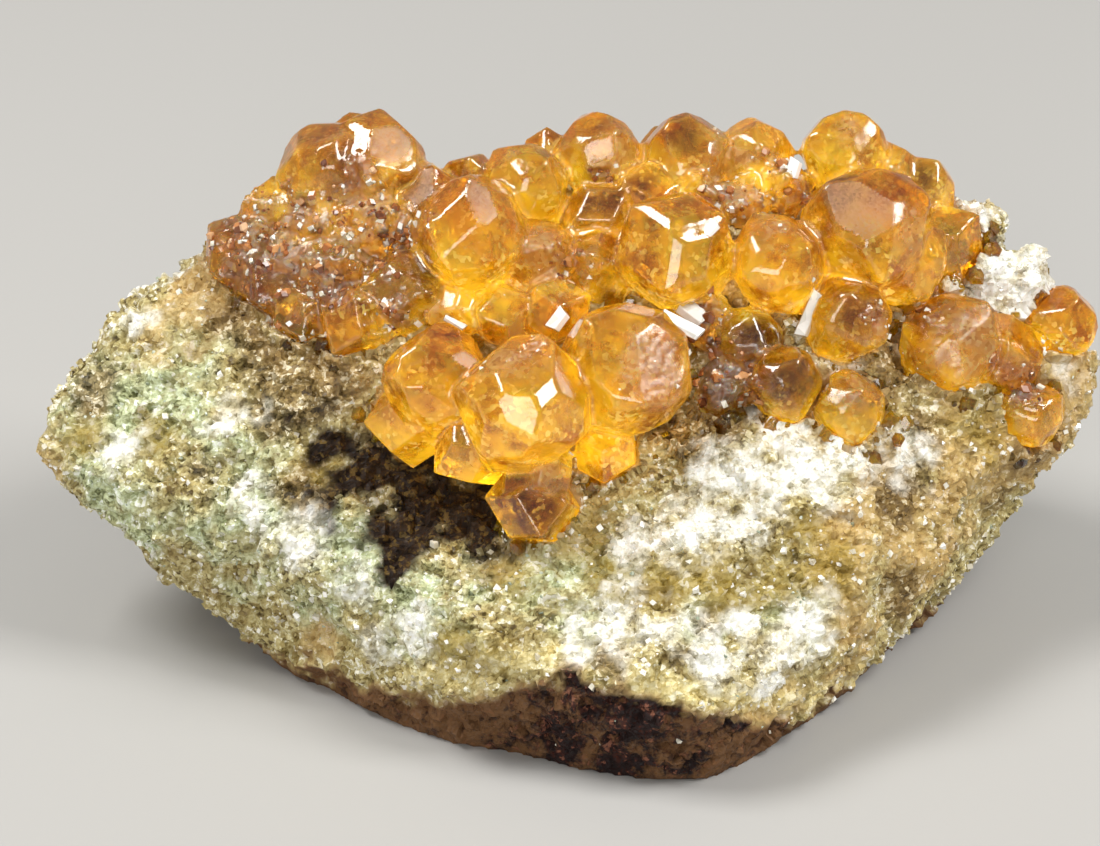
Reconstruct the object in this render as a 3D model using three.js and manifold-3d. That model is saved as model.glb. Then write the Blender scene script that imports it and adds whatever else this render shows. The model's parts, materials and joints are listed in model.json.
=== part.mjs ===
// A hand specimen of hessonite garnet on its calc-silicate matrix, in millimetres, +Z up.
// The front faces -Y and the base rests on z = 0. The garnets cover the crest and the slope
// that runs down from it towards the viewer. White calcite lumps stand among them on the right.
import * as THREE from "three";
import { mergeVertices } from "three/addons/utils/BufferGeometryUtils.js";
import Module from "manifold-3d";

const wasm = await Module();
wasm.setup();

// Driving dimensions
const HEART = new THREE.Vector3(0, 0, 12); // the point that every ray of the matrix starts from
const VIEW_TILT = THREE.MathUtils.degToRad(30); // how far the sight line looks down
const FRONT_Y = -19.5; // the foremost point of the base, where "up" is measured from
const SEAT_GAP = 0.3; // between a crystal and its socket in the matrix
const TIDY = 0.06; // edges shorter than this close up after the cuts
const EDGE_SHARPNESS = 34; // higher is crisper edges between the broken faces
const MATRIX_DETAIL = 13; // subdivisions of each icosahedron edge
const MATRIX_REACH = new THREE.Vector3(33, 21, 16); // spreads the vertices evenly over a long stone
const GROUND = { side: 120, depth: 30 }; // the block that cuts the base flat

// Corners of the broken stone. Its faces are the flat pieces of their convex hull.
const CORNERS = {
  frontLip: [[7.8, -21.2, 6.2], [13.2, -18.4, 3.8], [0, -17.6, 8], [-7.4, -16, 4.8], [15, -15.8, 2.2]],
  leftLip: [[-11, -13.6, 4.4], [-17.0, -10.8, 4.4], [-21.4, -8.0, 6.4], [-26.8, -5.8, 9.4]],
  leftTip: [[-32.9, -2.8, 12.8], [-30.0, 3.2, 16.8], [-25.8, 5.8, 20.6], [-22.0, 6.4, 22.8]],
  frontBulge: [[-16.4, -8.4, 13.2], [20.8, -4.0, 14.8], [27.0, -1.0, 12.4]],
  crest: [[-15, 7.5, 26.2], [-4, 8.5, 24.6], [8, 9.5, 26.2], [18, 9, 26.4], [25.0, 8, 23.2]],
  rightEnd: [[31.0, 7.5, 20.0], [34.0, 4.5, 16.5], [33.6, 3.2, 10.5], [30.8, 3.4, 6.6], [27.4, -1.6, 7.2]],
  rightFoot: [[24.0, -5.0, 6.2], [19.2, -9.0, 3.6], [16.8, -12.6, 2.6]],
  back: [[-26.5, 10.5, 9.5], [-15, 17.5, 8], [0, 20, 9], [14, 19.5, 10], [27.5, 14.5, 9.5]],
  backShoulder: [[-12.5, 14, 20.5], [6, 15.8, 21.5], [20.5, 14, 20.5]],
  frontFoot: [[7.8, -18.6, -4], [13.2, -14.8, -4], [0, -15.9, -4], [-7.4, -14, -4], [-10.8, -11.8, -4]],
  leftFoot: [[-14, -1, -4], [-19, 7, -4]],
  backFoot: [[-8, 15, -4], [8, 16.5, -4], [22, 10, -4], [20, 0, -4], [16.5, -7, -4]],
};

// Lumps (height above 0) and hollows (below 0) that stand off the flat faces. Each is placed as
// the front view shows it, by across and up as below, or on the hidden side by bearing and height.
const SWELLS = [
  { name: "hollow under the front crystals", across: -8.8, up: 16.4, reach: 3.8, rise: -6 },
  { name: "hollow's left end", across: -11.8, up: 19.0, reach: 2.8, rise: -3 },
  { name: "hollow's right end", across: -4.6, up: 15.2, reach: 2.2, rise: -2.6 },
  { name: "valley right of the front crystals", across: 9.4, up: 24.2, reach: 3.8, rise: -2.4 },
  { name: "mound below the valley", across: 7.6, up: 20.2, reach: 2.4, rise: 0.8 },
  { name: "recess in the right ledge", across: 20.6, up: 16.6, reach: 2.3, rise: -2.2 },
  { name: "pit below it", across: 20.0, up: 11.6, reach: 1.7, rise: -1.7 },
  { name: "right lobe", across: 22.6, up: 13.6, reach: 2.3, rise: 1.4 },
  { name: "lobe left of the recess", across: 17.2, up: 15.4, reach: 2.8, rise: 1.3 },
  { name: "ledge of the lower garnets", across: 17.6, up: 19.8, reach: 3.0, rise: 1.2 },
  { name: "far right shelf", across: 27.6, up: 20.2, reach: 3.2, rise: 1.1 },
  { name: "hollow under the shelf", across: 27.0, up: 16.8, reach: 2.6, rise: -1.4 },
  { name: "white front brow", across: 9.6, up: 8.6, reach: 4.0, rise: 1.0 },
  { name: "furrow above the brow", across: 11.5, up: 11.2, reach: 2.6, rise: -1.1 },
  { name: "white bank", across: 6.6, up: 15.4, reach: 3.6, rise: 0.9 },
  { name: "left shoulder", across: -23.5, up: 26.4, reach: 3.8, rise: 1.1 },
  { name: "left furrow", across: -20.8, up: 13.2, reach: 2.4, rise: -1.2 },
  { name: "nose of the front lip", across: -5.4, up: 9.6, reach: 3.0, rise: 1.1 },
  { name: "notch of the front lip", across: -10.6, up: 8.4, reach: 2.2, rise: -1.0 },
  { name: "drawn-in left underside", across: -19.5, up: 11.4, reach: 3.6, rise: -0.5 },
  { name: "drawn-in front corner", across: -15.0, up: 8.6, reach: 3.0, rise: -0.7 },
  { name: "drawn-in right foot", across: 17.6, up: 8.4, reach: 4.2, rise: -0.9 },
  { name: "drawn-in right underside", across: 27.6, up: 16.2, reach: 4.0, rise: -0.8 },
  { name: "back scar", bearing: 174, height: 0, reach: 7.0, rise: -1.8 },
  { name: "back knob", bearing: 232, height: 2, reach: 4.5, rise: 1.3 },
];
const LUMPS = { size: 6.0, height: 0.85 }; // broad unevenness of the broken faces
const GRIT = { size: 2.4, height: 0.6 }; // small ridges and pits on top of it

// Crystals that the front view shows. across is to the right of the middle, and up is measured
// square to the sight line from the foremost point of the base. proud is how far the centre
// stands above the matrix, as a share of the radius. Turn is in degrees about X, Y and Z. A crystal
// with glints is turned until one of its faces, or two, point to those spots of its disc instead:
// each is how far the spot lies to the right of the middle and above it, as a share of the radius.
// A rich crystal also has the twenty-four faces between the twelve main ones, which the others lack.
const DRUSE = [
  { name: "crown left", across: -14, up: 36.6, radius: 3.3, proud: 0.5, turn: [20, 10, 15], habit: "rich" },
  {
    name: "crown right", across: -11.5, up: 37.1, radius: 3.3, proud: 0.7,
    glints: [[0.3, 0.42], [-0.35, 0.5]], habit: "rich",
  },
  { name: "crown top", across: -12.6, up: 38.6, radius: 1.8, proud: 0.8, turn: [5, 30, 10] },
  {
    name: "crown foot", across: -11.4, up: 33.6, radius: 2.4, proud: 0.1,
    turn: [50, 20, 0], habit: "rich",
  },
  { name: "crust one", across: -14.3, up: 33.6, radius: 2.5, proud: 0, turn: [10, 0, 30] },
  { name: "crust two", across: -17.2, up: 33.8, radius: 2.5, proud: 0, turn: [0, 40, 20] },
  { name: "crust three", across: -19.2, up: 31.8, radius: 2.3, proud: -0.1, turn: [25, 15, 50] },
  { name: "crust four", across: -17.2, up: 30.2, radius: 2.4, proud: -0.1, turn: [15, 25, 70] },
  { name: "crust five", across: -13.6, up: 30.4, radius: 2.5, proud: -0.1, turn: [45, 10, 35] },
  { name: "crust six", across: -15.6, up: 28.0, radius: 1.8, proud: -0.2, turn: [5, 55, 5] },
  { name: "amber patch", across: -12.2, up: 27.6, radius: 2.0, proud: 0, turn: [30, 0, 60] },
  { name: "grey faced", across: -8.0, up: 35.0, radius: 2.2, proud: 0.4, turn: [12, 8, 45] },
  {
    name: "yellow slip", across: -9.4, up: 33.6, radius: 1.8, proud: 0.4,
    turn: [40, 30, 10], habit: "rich",
  },
  {
    name: "big left", across: -5.4, up: 32.8, radius: 3.6, proud: 0.9,
    glints: [[0.25, 0.4], [-0.5, 0.55]], habit: "rich",
  },
  {
    name: "big left's shoulder", across: -1.4, up: 31.6, radius: 2.2, proud: 0.7,
    turn: [55, 15, 25], habit: "rich",
  },
  {
    name: "upper left", across: -2.1, up: 35.9, radius: 2.7, proud: 0.8,
    glints: [[-0.15, 0.5], [-0.6, 0.1]], habit: "rich",
  },
  { name: "small white faced", across: -5.4, up: 36.4, radius: 1.6, proud: 0.4, turn: [18, 0, 20] },
  { name: "back tip", across: -0.9, up: 38.0, radius: 1.4, proud: 0.6, turn: [0, 0, 45] },
  { name: "back one", across: 2.4, up: 37.8, radius: 2.7, proud: 0.6, turn: [32, 18, 12], habit: "rich" },
  {
    name: "back two", across: 7.6, up: 37.6, radius: 2.8, proud: 0.7,
    glints: [[0, 0.3], [0.6, 0.2]], habit: "rich",
  },
  {
    name: "back three", across: 11.8, up: 37.8, radius: 2.4, proud: 0.6,
    turn: [48, 12, 5], habit: "rich",
  },
  { name: "back four", across: 17.4, up: 38.0, radius: 2.8, proud: 0.8, turn: [15, 33, 20], habit: "rich" },
  { name: "back five", across: 20.2, up: 36.8, radius: 1.9, proud: 0.7, turn: [60, 5, 15] },
  { name: "back six", across: 22.2, up: 35.9, radius: 2.2, proud: 0.6, turn: [8, 24, 62], habit: "rich" },
  {
    name: "largest", across: 18.5, up: 33.2, radius: 4.0, proud: 0.9,
    glints: [[-0.1, 0.3], [0.45, 0.25]], habit: "rich",
  },
  {
    name: "largest's lobe", across: 20.6, up: 31.2, radius: 2.8, proud: 0.8,
    turn: [40, -20, 30], habit: "rich",
  },
  { name: "right flank", across: 23.6, up: 32.4, radius: 2.2, proud: 0.4, turn: [5, 45, 25] },
  {
    name: "two white faces", across: 7.0, up: 31.8, radius: 3.5, proud: 1.0,
    glints: [[-0.31, 0.46], [0.36, 0.33]], habit: "rich",
  },
  { name: "behind the two faces", across: 5.5, up: 35.2, radius: 2.0, proud: 0.5, turn: [20, 50, 10] },
  {
    name: "bright orange", across: 13.1, up: 31.1, radius: 2.9, proud: 1.1,
    glints: [[0, 0.55], [-0.5, 0.3]], habit: "rich",
  },
  { name: "olive pocket", across: 2.1, up: 30.8, radius: 2.2, proud: 0, turn: [50, 0, 30] },
  { name: "pale pocket", across: 2.3, up: 33.8, radius: 2.1, proud: 0.1, turn: [10, 35, 40] },
  { name: "small square faced", across: 8.2, up: 35.6, radius: 1.6, proud: 0.8, turn: [38, 2, 2] },
  { name: "filler one", across: 11.0, up: 34.9, radius: 1.6, proud: 0.3, turn: [0, 20, 60] },
  { name: "filler two", across: 13.6, up: 35.8, radius: 1.7, proud: 0.4, turn: [44, 0, 15] },
  { name: "brown plate", across: -9.4, up: 29.4, radius: 2.3, proud: 0.4, turn: [62, 28, 0] },
  { name: "low filler", across: -6.4, up: 28.2, radius: 1.7, proud: 0.3, turn: [5, 15, 35] },
  { name: "mid filler", across: -3.4, up: 28.0, radius: 1.9, proud: 0.4, turn: [30, 45, 20] },
  { name: "peach filler", across: -0.4, up: 28.2, radius: 1.9, proud: 0.4, turn: [12, 60, 8] },
  { name: "bladed", across: 8.7, up: 27.8, radius: 1.7, proud: 0.4, turn: [34, 40, 10] },
  {
    name: "valley one", across: 11.2, up: 26.4, radius: 2.1, proud: 0.1,
    turn: [18, 5, 28], habit: "rich",
  },
  { name: "valley two", across: 9.8, up: 23.4, radius: 1.7, proud: 0, turn: [52, 30, 12] },
  {
    name: "clear brown", across: 13.4, up: 23.8, radius: 2.2, proud: 0.4,
    turn: [20, 20, 20], habit: "rich",
  },
  {
    name: "deep orange", across: 17.2, up: 27.8, radius: 2.7, proud: 0.3,
    turn: [30, 0, 52], habit: "rich",
  },
];

// Garnets that stand apart from the druse
const LONE_GARNETS = {
  garnet_front_group: [
    {
      name: "front left", across: -7.3, up: 23.8, radius: 3.3, proud: 1.0,
      glints: [[-0.08, -0.48], [0.45, 0.38]], habit: "rich",
    },
    {
      name: "front middle", across: -2.2, up: 22.5, radius: 4.0, proud: 1.1,
      glints: [[-0.5, 0.35], [0.1, 0.6]], habit: "rich",
    },
    {
      name: "front right", across: 3.7, up: 24.6, radius: 4.2, proud: 0.9,
      glints: [[-0.55, 0.1], [0.4, 0.2]], habit: "rich",
    },
    { name: "slab left", across: -8.8, up: 21.6, radius: 2.2, proud: 0.7, turn: [75, 10, 0] },
    { name: "slab middle", across: -5.2, up: 20.2, radius: 2.2, proud: 1.1, turn: [70, 20, 30] },
    { name: "hanging brown", across: -1.6, up: 16.8, radius: 2.2, proud: 0.6, turn: [6, 12, 8] },
    { name: "neck of the hanging one", across: -1.4, up: 18.6, radius: 2.0, proud: 0.8, turn: [30, 8, 40] },
    { name: "under right", across: 2.6, up: 19.8, radius: 1.8, proud: 0.2, turn: [25, 40, 0] },
  ],
  garnet_right_ledge: [
    {
      name: "massive amber", across: 23.8, up: 26.2, radius: 3.3, proud: -0.4,
      turn: [10, 30, 5], habit: "rich",
    },
    { name: "its right half", across: 26.9, up: 25.6, radius: 2.4, proud: -0.5, turn: [45, 5, 25] },
  ],
  garnet_right_edge: [
    {
      name: "edge crystal", across: 30.9, up: 27.6, radius: 2.3, proud: -0.4,
      turn: [22, 12, 32], habit: "rich",
    },
  ],
  garnet_lower_ledge: [
    {
      name: "yellow in the ledge", across: 17.2, up: 22.4, radius: 2.2, proud: -0.2,
      turn: [28, 18, 8], habit: "rich",
    },
  ],
  garnet_far_right: [
    {
      name: "olive edge", across: 28.6, up: 22.0, radius: 2.1, proud: -0.5,
      turn: [12, 48, 18], habit: "rich",
    },
  ],
};

// Garnets on the hidden side. bearing turns from the front (-Y) towards +X, and height is the
// angle above the horizon, both seen from the heart of the stone.
const BACK_GARNETS = [
  {
    name: "rear left", bearing: 236, height: 40, radius: 2.6, proud: 0.3,
    turn: [15, 25, 5], habit: "rich",
  },
  { name: "rear left low", bearing: 230, height: 30, radius: 1.9, proud: 0.1, turn: [35, 5, 45] },
  {
    name: "rear middle", bearing: 192, height: 42, radius: 2.7, proud: 0.3,
    turn: [20, 40, 10], habit: "rich",
  },
  { name: "rear middle low", bearing: 182, height: 31, radius: 2.0, proud: 0.1, turn: [5, 10, 60] },
  {
    name: "rear right", bearing: 150, height: 40, radius: 2.8, proud: 0.3,
    turn: [42, 12, 28], habit: "rich",
  },
  { name: "rear right low", bearing: 140, height: 29, radius: 2.0, proud: 0.1, turn: [28, 33, 0] },
];

// White calcite lumps, each stretched to its own half lengths.
const CALCITE = [
  { name: "back knob", across: 20.9, up: 38.2, half: [1.9, 1.5, 1.3], proud: 0.5, seed: 3 },
  { name: "right crest", across: 25.4, up: 33.6, half: [2.3, 1.6, 1.5], proud: 0.4, seed: 5 },
  { name: "right boss", across: 27.6, up: 30.2, half: [2.7, 2.0, 2.1], proud: 0.4, seed: 8 },
  { name: "inner lump", across: 22.9, up: 29.4, half: [1.4, 1.1, 1.3], proud: 0.5, seed: 13 },
];

const LUMP_DETAIL = 3; // subdivisions, as for the matrix
const LUMP_ROUGHNESS = 0.22; // share of the radius that the noise adds or takes away

// Repeatable noise, between -1 and 1
const fract = (x) => x - Math.floor(x);
const hash = (i, j, k) => fract(Math.sin(i * 127.1 + j * 311.7 + k * 74.7) * 43758.5453);
const ease = (t) => t * t * (3 - 2 * t);

function noise(x, y, z) {
  const [i, j, k] = [x, y, z].map(Math.floor);
  const [u, v, w] = [ease(x - i), ease(y - j), ease(z - k)];
  const mix = THREE.MathUtils.lerp;
  const edge = (dj, dk) => mix(hash(i, j + dj, k + dk), hash(i + 1, j + dj, k + dk), u);
  return 2 * mix(mix(edge(0, 0), edge(1, 0), v), mix(edge(0, 1), edge(1, 1), v), w) - 1;
}

// The flat faces of the hull of some points, as outward normals and distances from the heart
function hullFaces(points) {
  const faces = [];
  const isNew = (n, d) => !faces.some((f) => f.normal.dot(n) > 0.9999 && Math.abs(f.offset - d) < 0.01);
  points.forEach((a, i) =>
    points.slice(i + 1).forEach((b, j) =>
      points.slice(i + j + 2).forEach((c) => {
        const normal = b.clone().sub(a).cross(c.clone().sub(a)).normalize();
        if (normal.dot(a) < 0) normal.negate();
        const offset = normal.dot(a);
        const isOutside = points.every((p) => normal.dot(p) < offset + 1e-6);
        if (isOutside && offset > 0 && isNew(normal, offset)) faces.push({ normal, offset });
      }),
    ),
  );
  return faces;
}

const fromHeart = (at) => new THREE.Vector3(...at).sub(HEART);
const stoneFaces = hullFaces(Object.values(CORNERS).flat().map(fromHeart));

// How far the flat-faced stone reaches from its heart along the unit direction u
function flatReach(u) {
  const nearness = (face) => Math.max(0, face.normal.dot(u) / face.offset) ** EDGE_SHARPNESS;
  return stoneFaces.reduce((sum, face) => sum + nearness(face), 0) ** (-1 / EDGE_SHARPNESS);
}

// The point where the sight line of (across, up) meets a surface, raised by lift
function seatInView({ across, up }, lift, reachAlong) {
  const [sin, cos] = [Math.sin(VIEW_TILT), Math.cos(VIEW_TILT)];
  const into = new THREE.Vector3(0, cos, -sin);
  const start = new THREE.Vector3(across, FRONT_Y + up * sin, up * cos).addScaledVector(into, -60);
  const stepLength = 0.1;
  const steps = 1200;
  let best = { gap: Infinity };
  for (let i = 0; i < steps && best.gap > 0; i++) {
    const p = start.clone().addScaledVector(into, i * stepLength);
    const ray = p.clone().sub(HEART);
    const gap = ray.length() - reachAlong(ray.normalize()) - lift;
    if (gap < best.gap) best = { gap, p };
  }
  return best.p;
}

// The point over a surface in a direction given by bearing and height
function seatByBearing({ bearing, height }, lift, reachAlong) {
  const [b, h] = [bearing, height].map((angle) => THREE.MathUtils.degToRad(angle));
  const u = new THREE.Vector3(Math.sin(b) * Math.cos(h), -Math.cos(b) * Math.cos(h), Math.sin(h));
  return u.clone().multiplyScalar(reachAlong(u) + lift).add(HEART);
}

const seatOf = (piece, ...rest) => ("bearing" in piece ? seatByBearing : seatInView)(piece, ...rest);
const swells = SWELLS.map((swell) => ({ ...swell, at: seatOf(swell, 0, flatReach) }));

// How far the uneven stone reaches from its heart along the unit direction u
function stoneReach(u) {
  const flat = flatReach(u);
  const p = u.clone().multiplyScalar(flat).add(HEART);
  const swell = ({ at, reach, rise }) => rise * Math.exp(-p.distanceToSquared(at) / reach ** 2);
  const rough = ({ size, height }) => height * noise(p.x / size, p.y / size, p.z / size);
  return flat + swells.reduce((sum, s) => sum + swell(s), 0) + rough(LUMPS) + rough(GRIT);
}

// Solids and geometries
function solidOf(geometry) {
  const bare = new THREE.BufferGeometry().setAttribute("position", geometry.getAttribute("position"));
  bare.setIndex(geometry.index);
  const merged = mergeVertices(bare, 1e-5);
  const triVerts = new Uint32Array(merged.index.array);
  const vertProperties = merged.attributes.position.array;
  return new wasm.Manifold(new wasm.Mesh({ numProp: 3, vertProperties, triVerts }));
}

function geometryOf(solid) {
  const { vertProperties, triVerts } = solid.getMesh();
  return new THREE.BufferGeometry()
    .setAttribute("position", new THREE.BufferAttribute(vertProperties, 3))
    .setIndex(new THREE.BufferAttribute(triVerts, 1));
}

const joined = (solids) => solids.reduce((all, solid) => all.add(solid));
const largest = (solid) =>
  solid.decompose().reduce((best, piece) => (piece.volume() > best.volume() ? piece : best));

// The stone as broken, before anything is seated in it
function matrixStone() {
  const ball = new THREE.IcosahedronGeometry(1, MATRIX_DETAIL);
  const place = ball.getAttribute("position");
  const u = new THREE.Vector3();
  for (let i = 0; i < place.count; i++) {
    u.fromBufferAttribute(place, i).multiply(MATRIX_REACH).normalize();
    const p = u.clone().multiplyScalar(stoneReach(u)).add(HEART);
    place.setXYZ(i, p.x, p.y, p.z);
  }
  const { side, depth } = GROUND;
  const ground = new THREE.BoxGeometry(side, side, depth).translate(0, 0, -depth / 2);
  return solidOf(ball).subtract(solidOf(ground));
}

// The closed solid bounded by some planes, each a unit normal and its distance from the middle
function planeSolid(planes) {
  const corners = [];
  planes.forEach((a, i) =>
    planes.slice(i + 1).forEach((b, j) => {
      const line = a.normal.clone().cross(b.normal);
      if (line.lengthSq() < 1e-6) return;
      planes.slice(i + j + 2).forEach((c) => {
        const det = line.dot(c.normal);
        if (Math.abs(det) < 1e-6) return;
        const p = b.normal.clone().cross(c.normal).multiplyScalar(a.offset);
        p.add(c.normal.clone().cross(a.normal).multiplyScalar(b.offset));
        p.add(line.clone().multiplyScalar(c.offset)).divideScalar(det);
        const isInside = planes.every((q) => q.normal.dot(p) < q.offset + 1e-6);
        if (isInside && !corners.some((q) => q.distanceTo(p) < 1e-5)) corners.push(p);
      });
    }),
  );
  const position = corners.flatMap((p) => p.toArray());
  const index = [];
  for (const { normal, offset } of planes) {
    const isOnPlane = ({ p }) => Math.abs(normal.dot(p) - offset) < 2e-5;
    const rim = corners.map((p, k) => ({ p, k })).filter(isOnPlane);
    if (rim.length < 3) continue;
    const middle = rim.reduce((sum, { p }) => sum.add(p), new THREE.Vector3()).divideScalar(rim.length);
    const right = rim[0].p.clone().sub(middle).normalize();
    const front = normal.clone().cross(right);
    const angle = ({ p }) => Math.atan2(p.clone().sub(middle).dot(front), p.clone().sub(middle).dot(right));
    rim.sort((a, b) => angle(a) - angle(b));
    for (let k = 2; k < rim.length; k++) index.push(rim[0].k, rim[k - 1].k, rim[k].k);
  }
  return new THREE.BufferGeometry()
    .setAttribute("position", new THREE.Float32BufferAttribute(position, 3))
    .setIndex(index);
}

// Face directions of a garnet: twelve of the rhombic dodecahedron, twenty-four of the trapezohedron
const SIGNS = [1, -1];
const turns = ([x, y, z]) => [[x, y, z], [y, z, x], [z, x, y]];
const twelve = SIGNS.flatMap((a) => SIGNS.flatMap((b) => turns([a, b, 0])));
const twentyFour = SIGNS.flatMap((a) => SIGNS.flatMap((b) => SIGNS.flatMap((c) => turns([a, b, 2 * c]))));
const HABITS = {
  plain: [{ faces: twelve, distance: 0.95 }],
  rich: [{ faces: twelve, distance: 0.96 }, { faces: twentyFour, distance: 0.95 }],
};
const habitOf = (crystal) => HABITS[crystal.habit ?? "plain"];
const UNEVEN = 0.09; // how much the faces of one crystal differ in their distance from its middle

// The direction that a spot on the near side of a ball faces, as the front view shows it
function facing([right, above]) {
  const [sin, cos] = [Math.sin(VIEW_TILT), Math.cos(VIEW_TILT)];
  const near = Math.sqrt(1 - right ** 2 - above ** 2);
  return new THREE.Vector3(right, sin * above - cos * near, cos * above + sin * near);
}

// The turn that brings direction a to face A, with b as near to B as it can be
function turnOnto([a, b], [A, B]) {
  const frame = (first, second) => {
    const third = first.clone().cross(second).normalize();
    return new THREE.Matrix4().makeBasis(first, third, first.clone().cross(third));
  };
  return frame(A, B).multiply(frame(a, b).transpose());
}

// The pair of faces whose angle is nearest to that between two directions
function facePair(faces, [A, B]) {
  const first = new THREE.Vector3(...faces[0]).normalize();
  const others = faces.slice(1).map((f) => new THREE.Vector3(...f).normalize());
  const misfit = (f) => Math.abs(f.angleTo(first) - A.angleTo(B));
  return [first, others.reduce((best, f) => (misfit(f) < misfit(best) ? f : best))];
}

// How a crystal is turned, by its angles or by its glints
function crystalSpin({ turn, glints }, habit) {
  const spin = new THREE.Matrix4();
  if (!glints) return spin.makeRotationFromEuler(new THREE.Euler(...turn.map(THREE.MathUtils.degToRad)));
  const aims = glints.map(facing);
  return turnOnto(facePair(habit.at(-1).faces, aims), aims);
}

function crystalPlanes(crystal, habit, seed, extra) {
  const { radius } = crystal;
  const spin = crystalSpin(crystal, habitOf(crystal));
  return habit.flatMap(({ faces, distance }, form) =>
    faces.map((direction, k) => ({
      normal: new THREE.Vector3(...direction).normalize().applyMatrix4(spin),
      offset: radius * distance * (1 + UNEVEN * (2 * hash(seed, k, form) - 1)) + extra,
    })),
  );
}

// One crystal in its place. extra moves every face outwards, for its socket.
function crystalSolid(crystal, habit, seed, extra) {
  const at = seatOf(crystal, crystal.proud * crystal.radius, stoneReach);
  return solidOf(planeSolid(crystalPlanes(crystal, habit, seed, extra)).translate(at.x, at.y, at.z));
}

// One calcite lump in its place
function calciteSolid(lump) {
  const ball = new THREE.IcosahedronGeometry(1, LUMP_DETAIL);
  const place = ball.getAttribute("position");
  const at = seatOf(lump, lump.proud * lump.half[2], stoneReach);
  const p = new THREE.Vector3();
  for (let i = 0; i < place.count; i++) {
    p.fromBufferAttribute(place, i);
    const bump = 1 + LUMP_ROUGHNESS * noise(2 * p.x + lump.seed, 2 * p.y, 2 * p.z);
    p.multiplyScalar(bump).multiply(new THREE.Vector3(...lump.half)).add(at);
    place.setXYZ(i, p.x, p.y, p.z);
  }
  return solidOf(ball);
}

// Each garnet group keeps its own seeds, so that changing one crystal leaves the others alone.
// A socket follows only the twelve main faces.
function garnetGroup(crystals, firstSeed) {
  const grow = (habitFor, extra) =>
    joined(crystals.map((c, i) => crystalSolid(c, habitFor(c), firstSeed + i, extra)));
  return {
    solid: largest(grow(habitOf, 0).simplify(TIDY)),
    socket: grow(() => HABITS.plain, SEAT_GAP).simplify(TIDY),
  };
}

// Each group gives way to the ones named before it.
const groups = { garnet_druse: garnetGroup([...DRUSE, ...BACK_GARNETS], 1) };
let sockets = groups.garnet_druse.socket;
Object.entries(LONE_GARNETS).forEach(([name, crystals], i) => {
  const { solid, socket } = garnetGroup(crystals, 101 + 10 * i);
  groups[name] = { solid: largest(solid.subtract(sockets)) };
  sockets = sockets.add(socket);
});
const stone = joined([matrixStone(), ...CALCITE.map(calciteSolid)]);
const matrix = largest(stone.subtract(sockets).simplify(TIDY));

// Finishes
const GARNET = { color: 0xd9821a, roughness: 0.12, metalness: 0 };
const STONE = { color: 0xb9b596, roughness: 0.9, metalness: 0 };

const specimen = new THREE.Group();
function addPiece(name, solid, finish) {
  const mesh = new THREE.Mesh(geometryOf(solid), new THREE.MeshStandardMaterial(finish));
  mesh.name = name;
  specimen.add(mesh);
}
addPiece("matrix_rock", matrix, STONE);
for (const [name, { solid }] of Object.entries(groups)) addPiece(name, solid, GARNET);

// The origin is under the middle of the whole piece, on the plane that it stands on.
const middle = new THREE.Box3().setFromObject(specimen).getCenter(new THREE.Vector3());
specimen.position.set(-middle.x, -middle.y, 0);

export default specimen;
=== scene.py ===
# %% [markdown]
# # Garnets on a rock
# A miniature mineral specimen: honey-amber garnets grown over the crest and the front slope of a
# pale, sugary rock. The rock and the garnets come as plain faceted solids. This script dresses
# them: the rock gets its broken granular skin, the garnets get worn edges, clear colour and the
# clouds inside, and hundreds of small grains cover the places where one grows out of the other.

# %% Load the solids that carry everything
import json
import math

import bmesh
import bpy
import numpy as np
from mathutils import Matrix, Vector
from mathutils.bvhtree import BVHTree

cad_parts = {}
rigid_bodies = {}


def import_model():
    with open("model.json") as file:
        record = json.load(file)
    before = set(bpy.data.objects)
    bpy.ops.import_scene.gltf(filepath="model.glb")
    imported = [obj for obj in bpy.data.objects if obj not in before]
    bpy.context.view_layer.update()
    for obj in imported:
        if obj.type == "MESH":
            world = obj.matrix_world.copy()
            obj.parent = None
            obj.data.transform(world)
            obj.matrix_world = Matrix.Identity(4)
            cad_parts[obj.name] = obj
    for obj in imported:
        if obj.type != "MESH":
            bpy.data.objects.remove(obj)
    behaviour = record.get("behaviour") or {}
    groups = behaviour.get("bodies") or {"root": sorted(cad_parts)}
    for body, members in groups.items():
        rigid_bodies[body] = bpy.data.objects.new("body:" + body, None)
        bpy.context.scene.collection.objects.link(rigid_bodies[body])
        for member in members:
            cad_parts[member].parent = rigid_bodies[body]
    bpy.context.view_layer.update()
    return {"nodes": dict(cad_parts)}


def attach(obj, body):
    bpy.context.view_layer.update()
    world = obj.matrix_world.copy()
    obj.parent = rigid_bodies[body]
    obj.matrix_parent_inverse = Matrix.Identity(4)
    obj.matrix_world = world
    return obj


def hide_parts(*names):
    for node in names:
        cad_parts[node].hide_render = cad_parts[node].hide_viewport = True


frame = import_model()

MM = 0.001
print("solids:", sorted(frame["nodes"]))

# %% [markdown]
# ## Places on the specimen
# It is easiest to say where a stain or a crystal is by looking at the specimen from the front and
# 30 degrees above. "Across" runs to the right and "up" is square to that sight line, both in
# millimetres from the foremost point of the base. A ray along the sight line then finds the point
# on the surface, so every place named below lies on the solid itself.

# %% The sight line
VIEW_TILT = math.radians(30)
ACROSS_ZERO = 0.835  # where the specimen's middle lies on the scale of "across", in mm
FOREMOST_Y = -18.87  # the foremost point of the base, in mm
RAY_START = 60  # how far in front of the specimen each ray starts, in mm
RIGHT = Vector((1, 0, 0))
UPWARD = Vector((0, math.sin(VIEW_TILT), math.cos(VIEW_TILT)))
AWAY = Vector((0, math.cos(VIEW_TILT), -math.sin(VIEW_TILT)))


def on_sight_plane(across, up):
    """The point of the plane square to the sight line through the foremost point."""
    return (RIGHT * (across - ACROSS_ZERO) + Vector((0, FOREMOST_Y, 0)) + UPWARD * up) * MM


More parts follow.
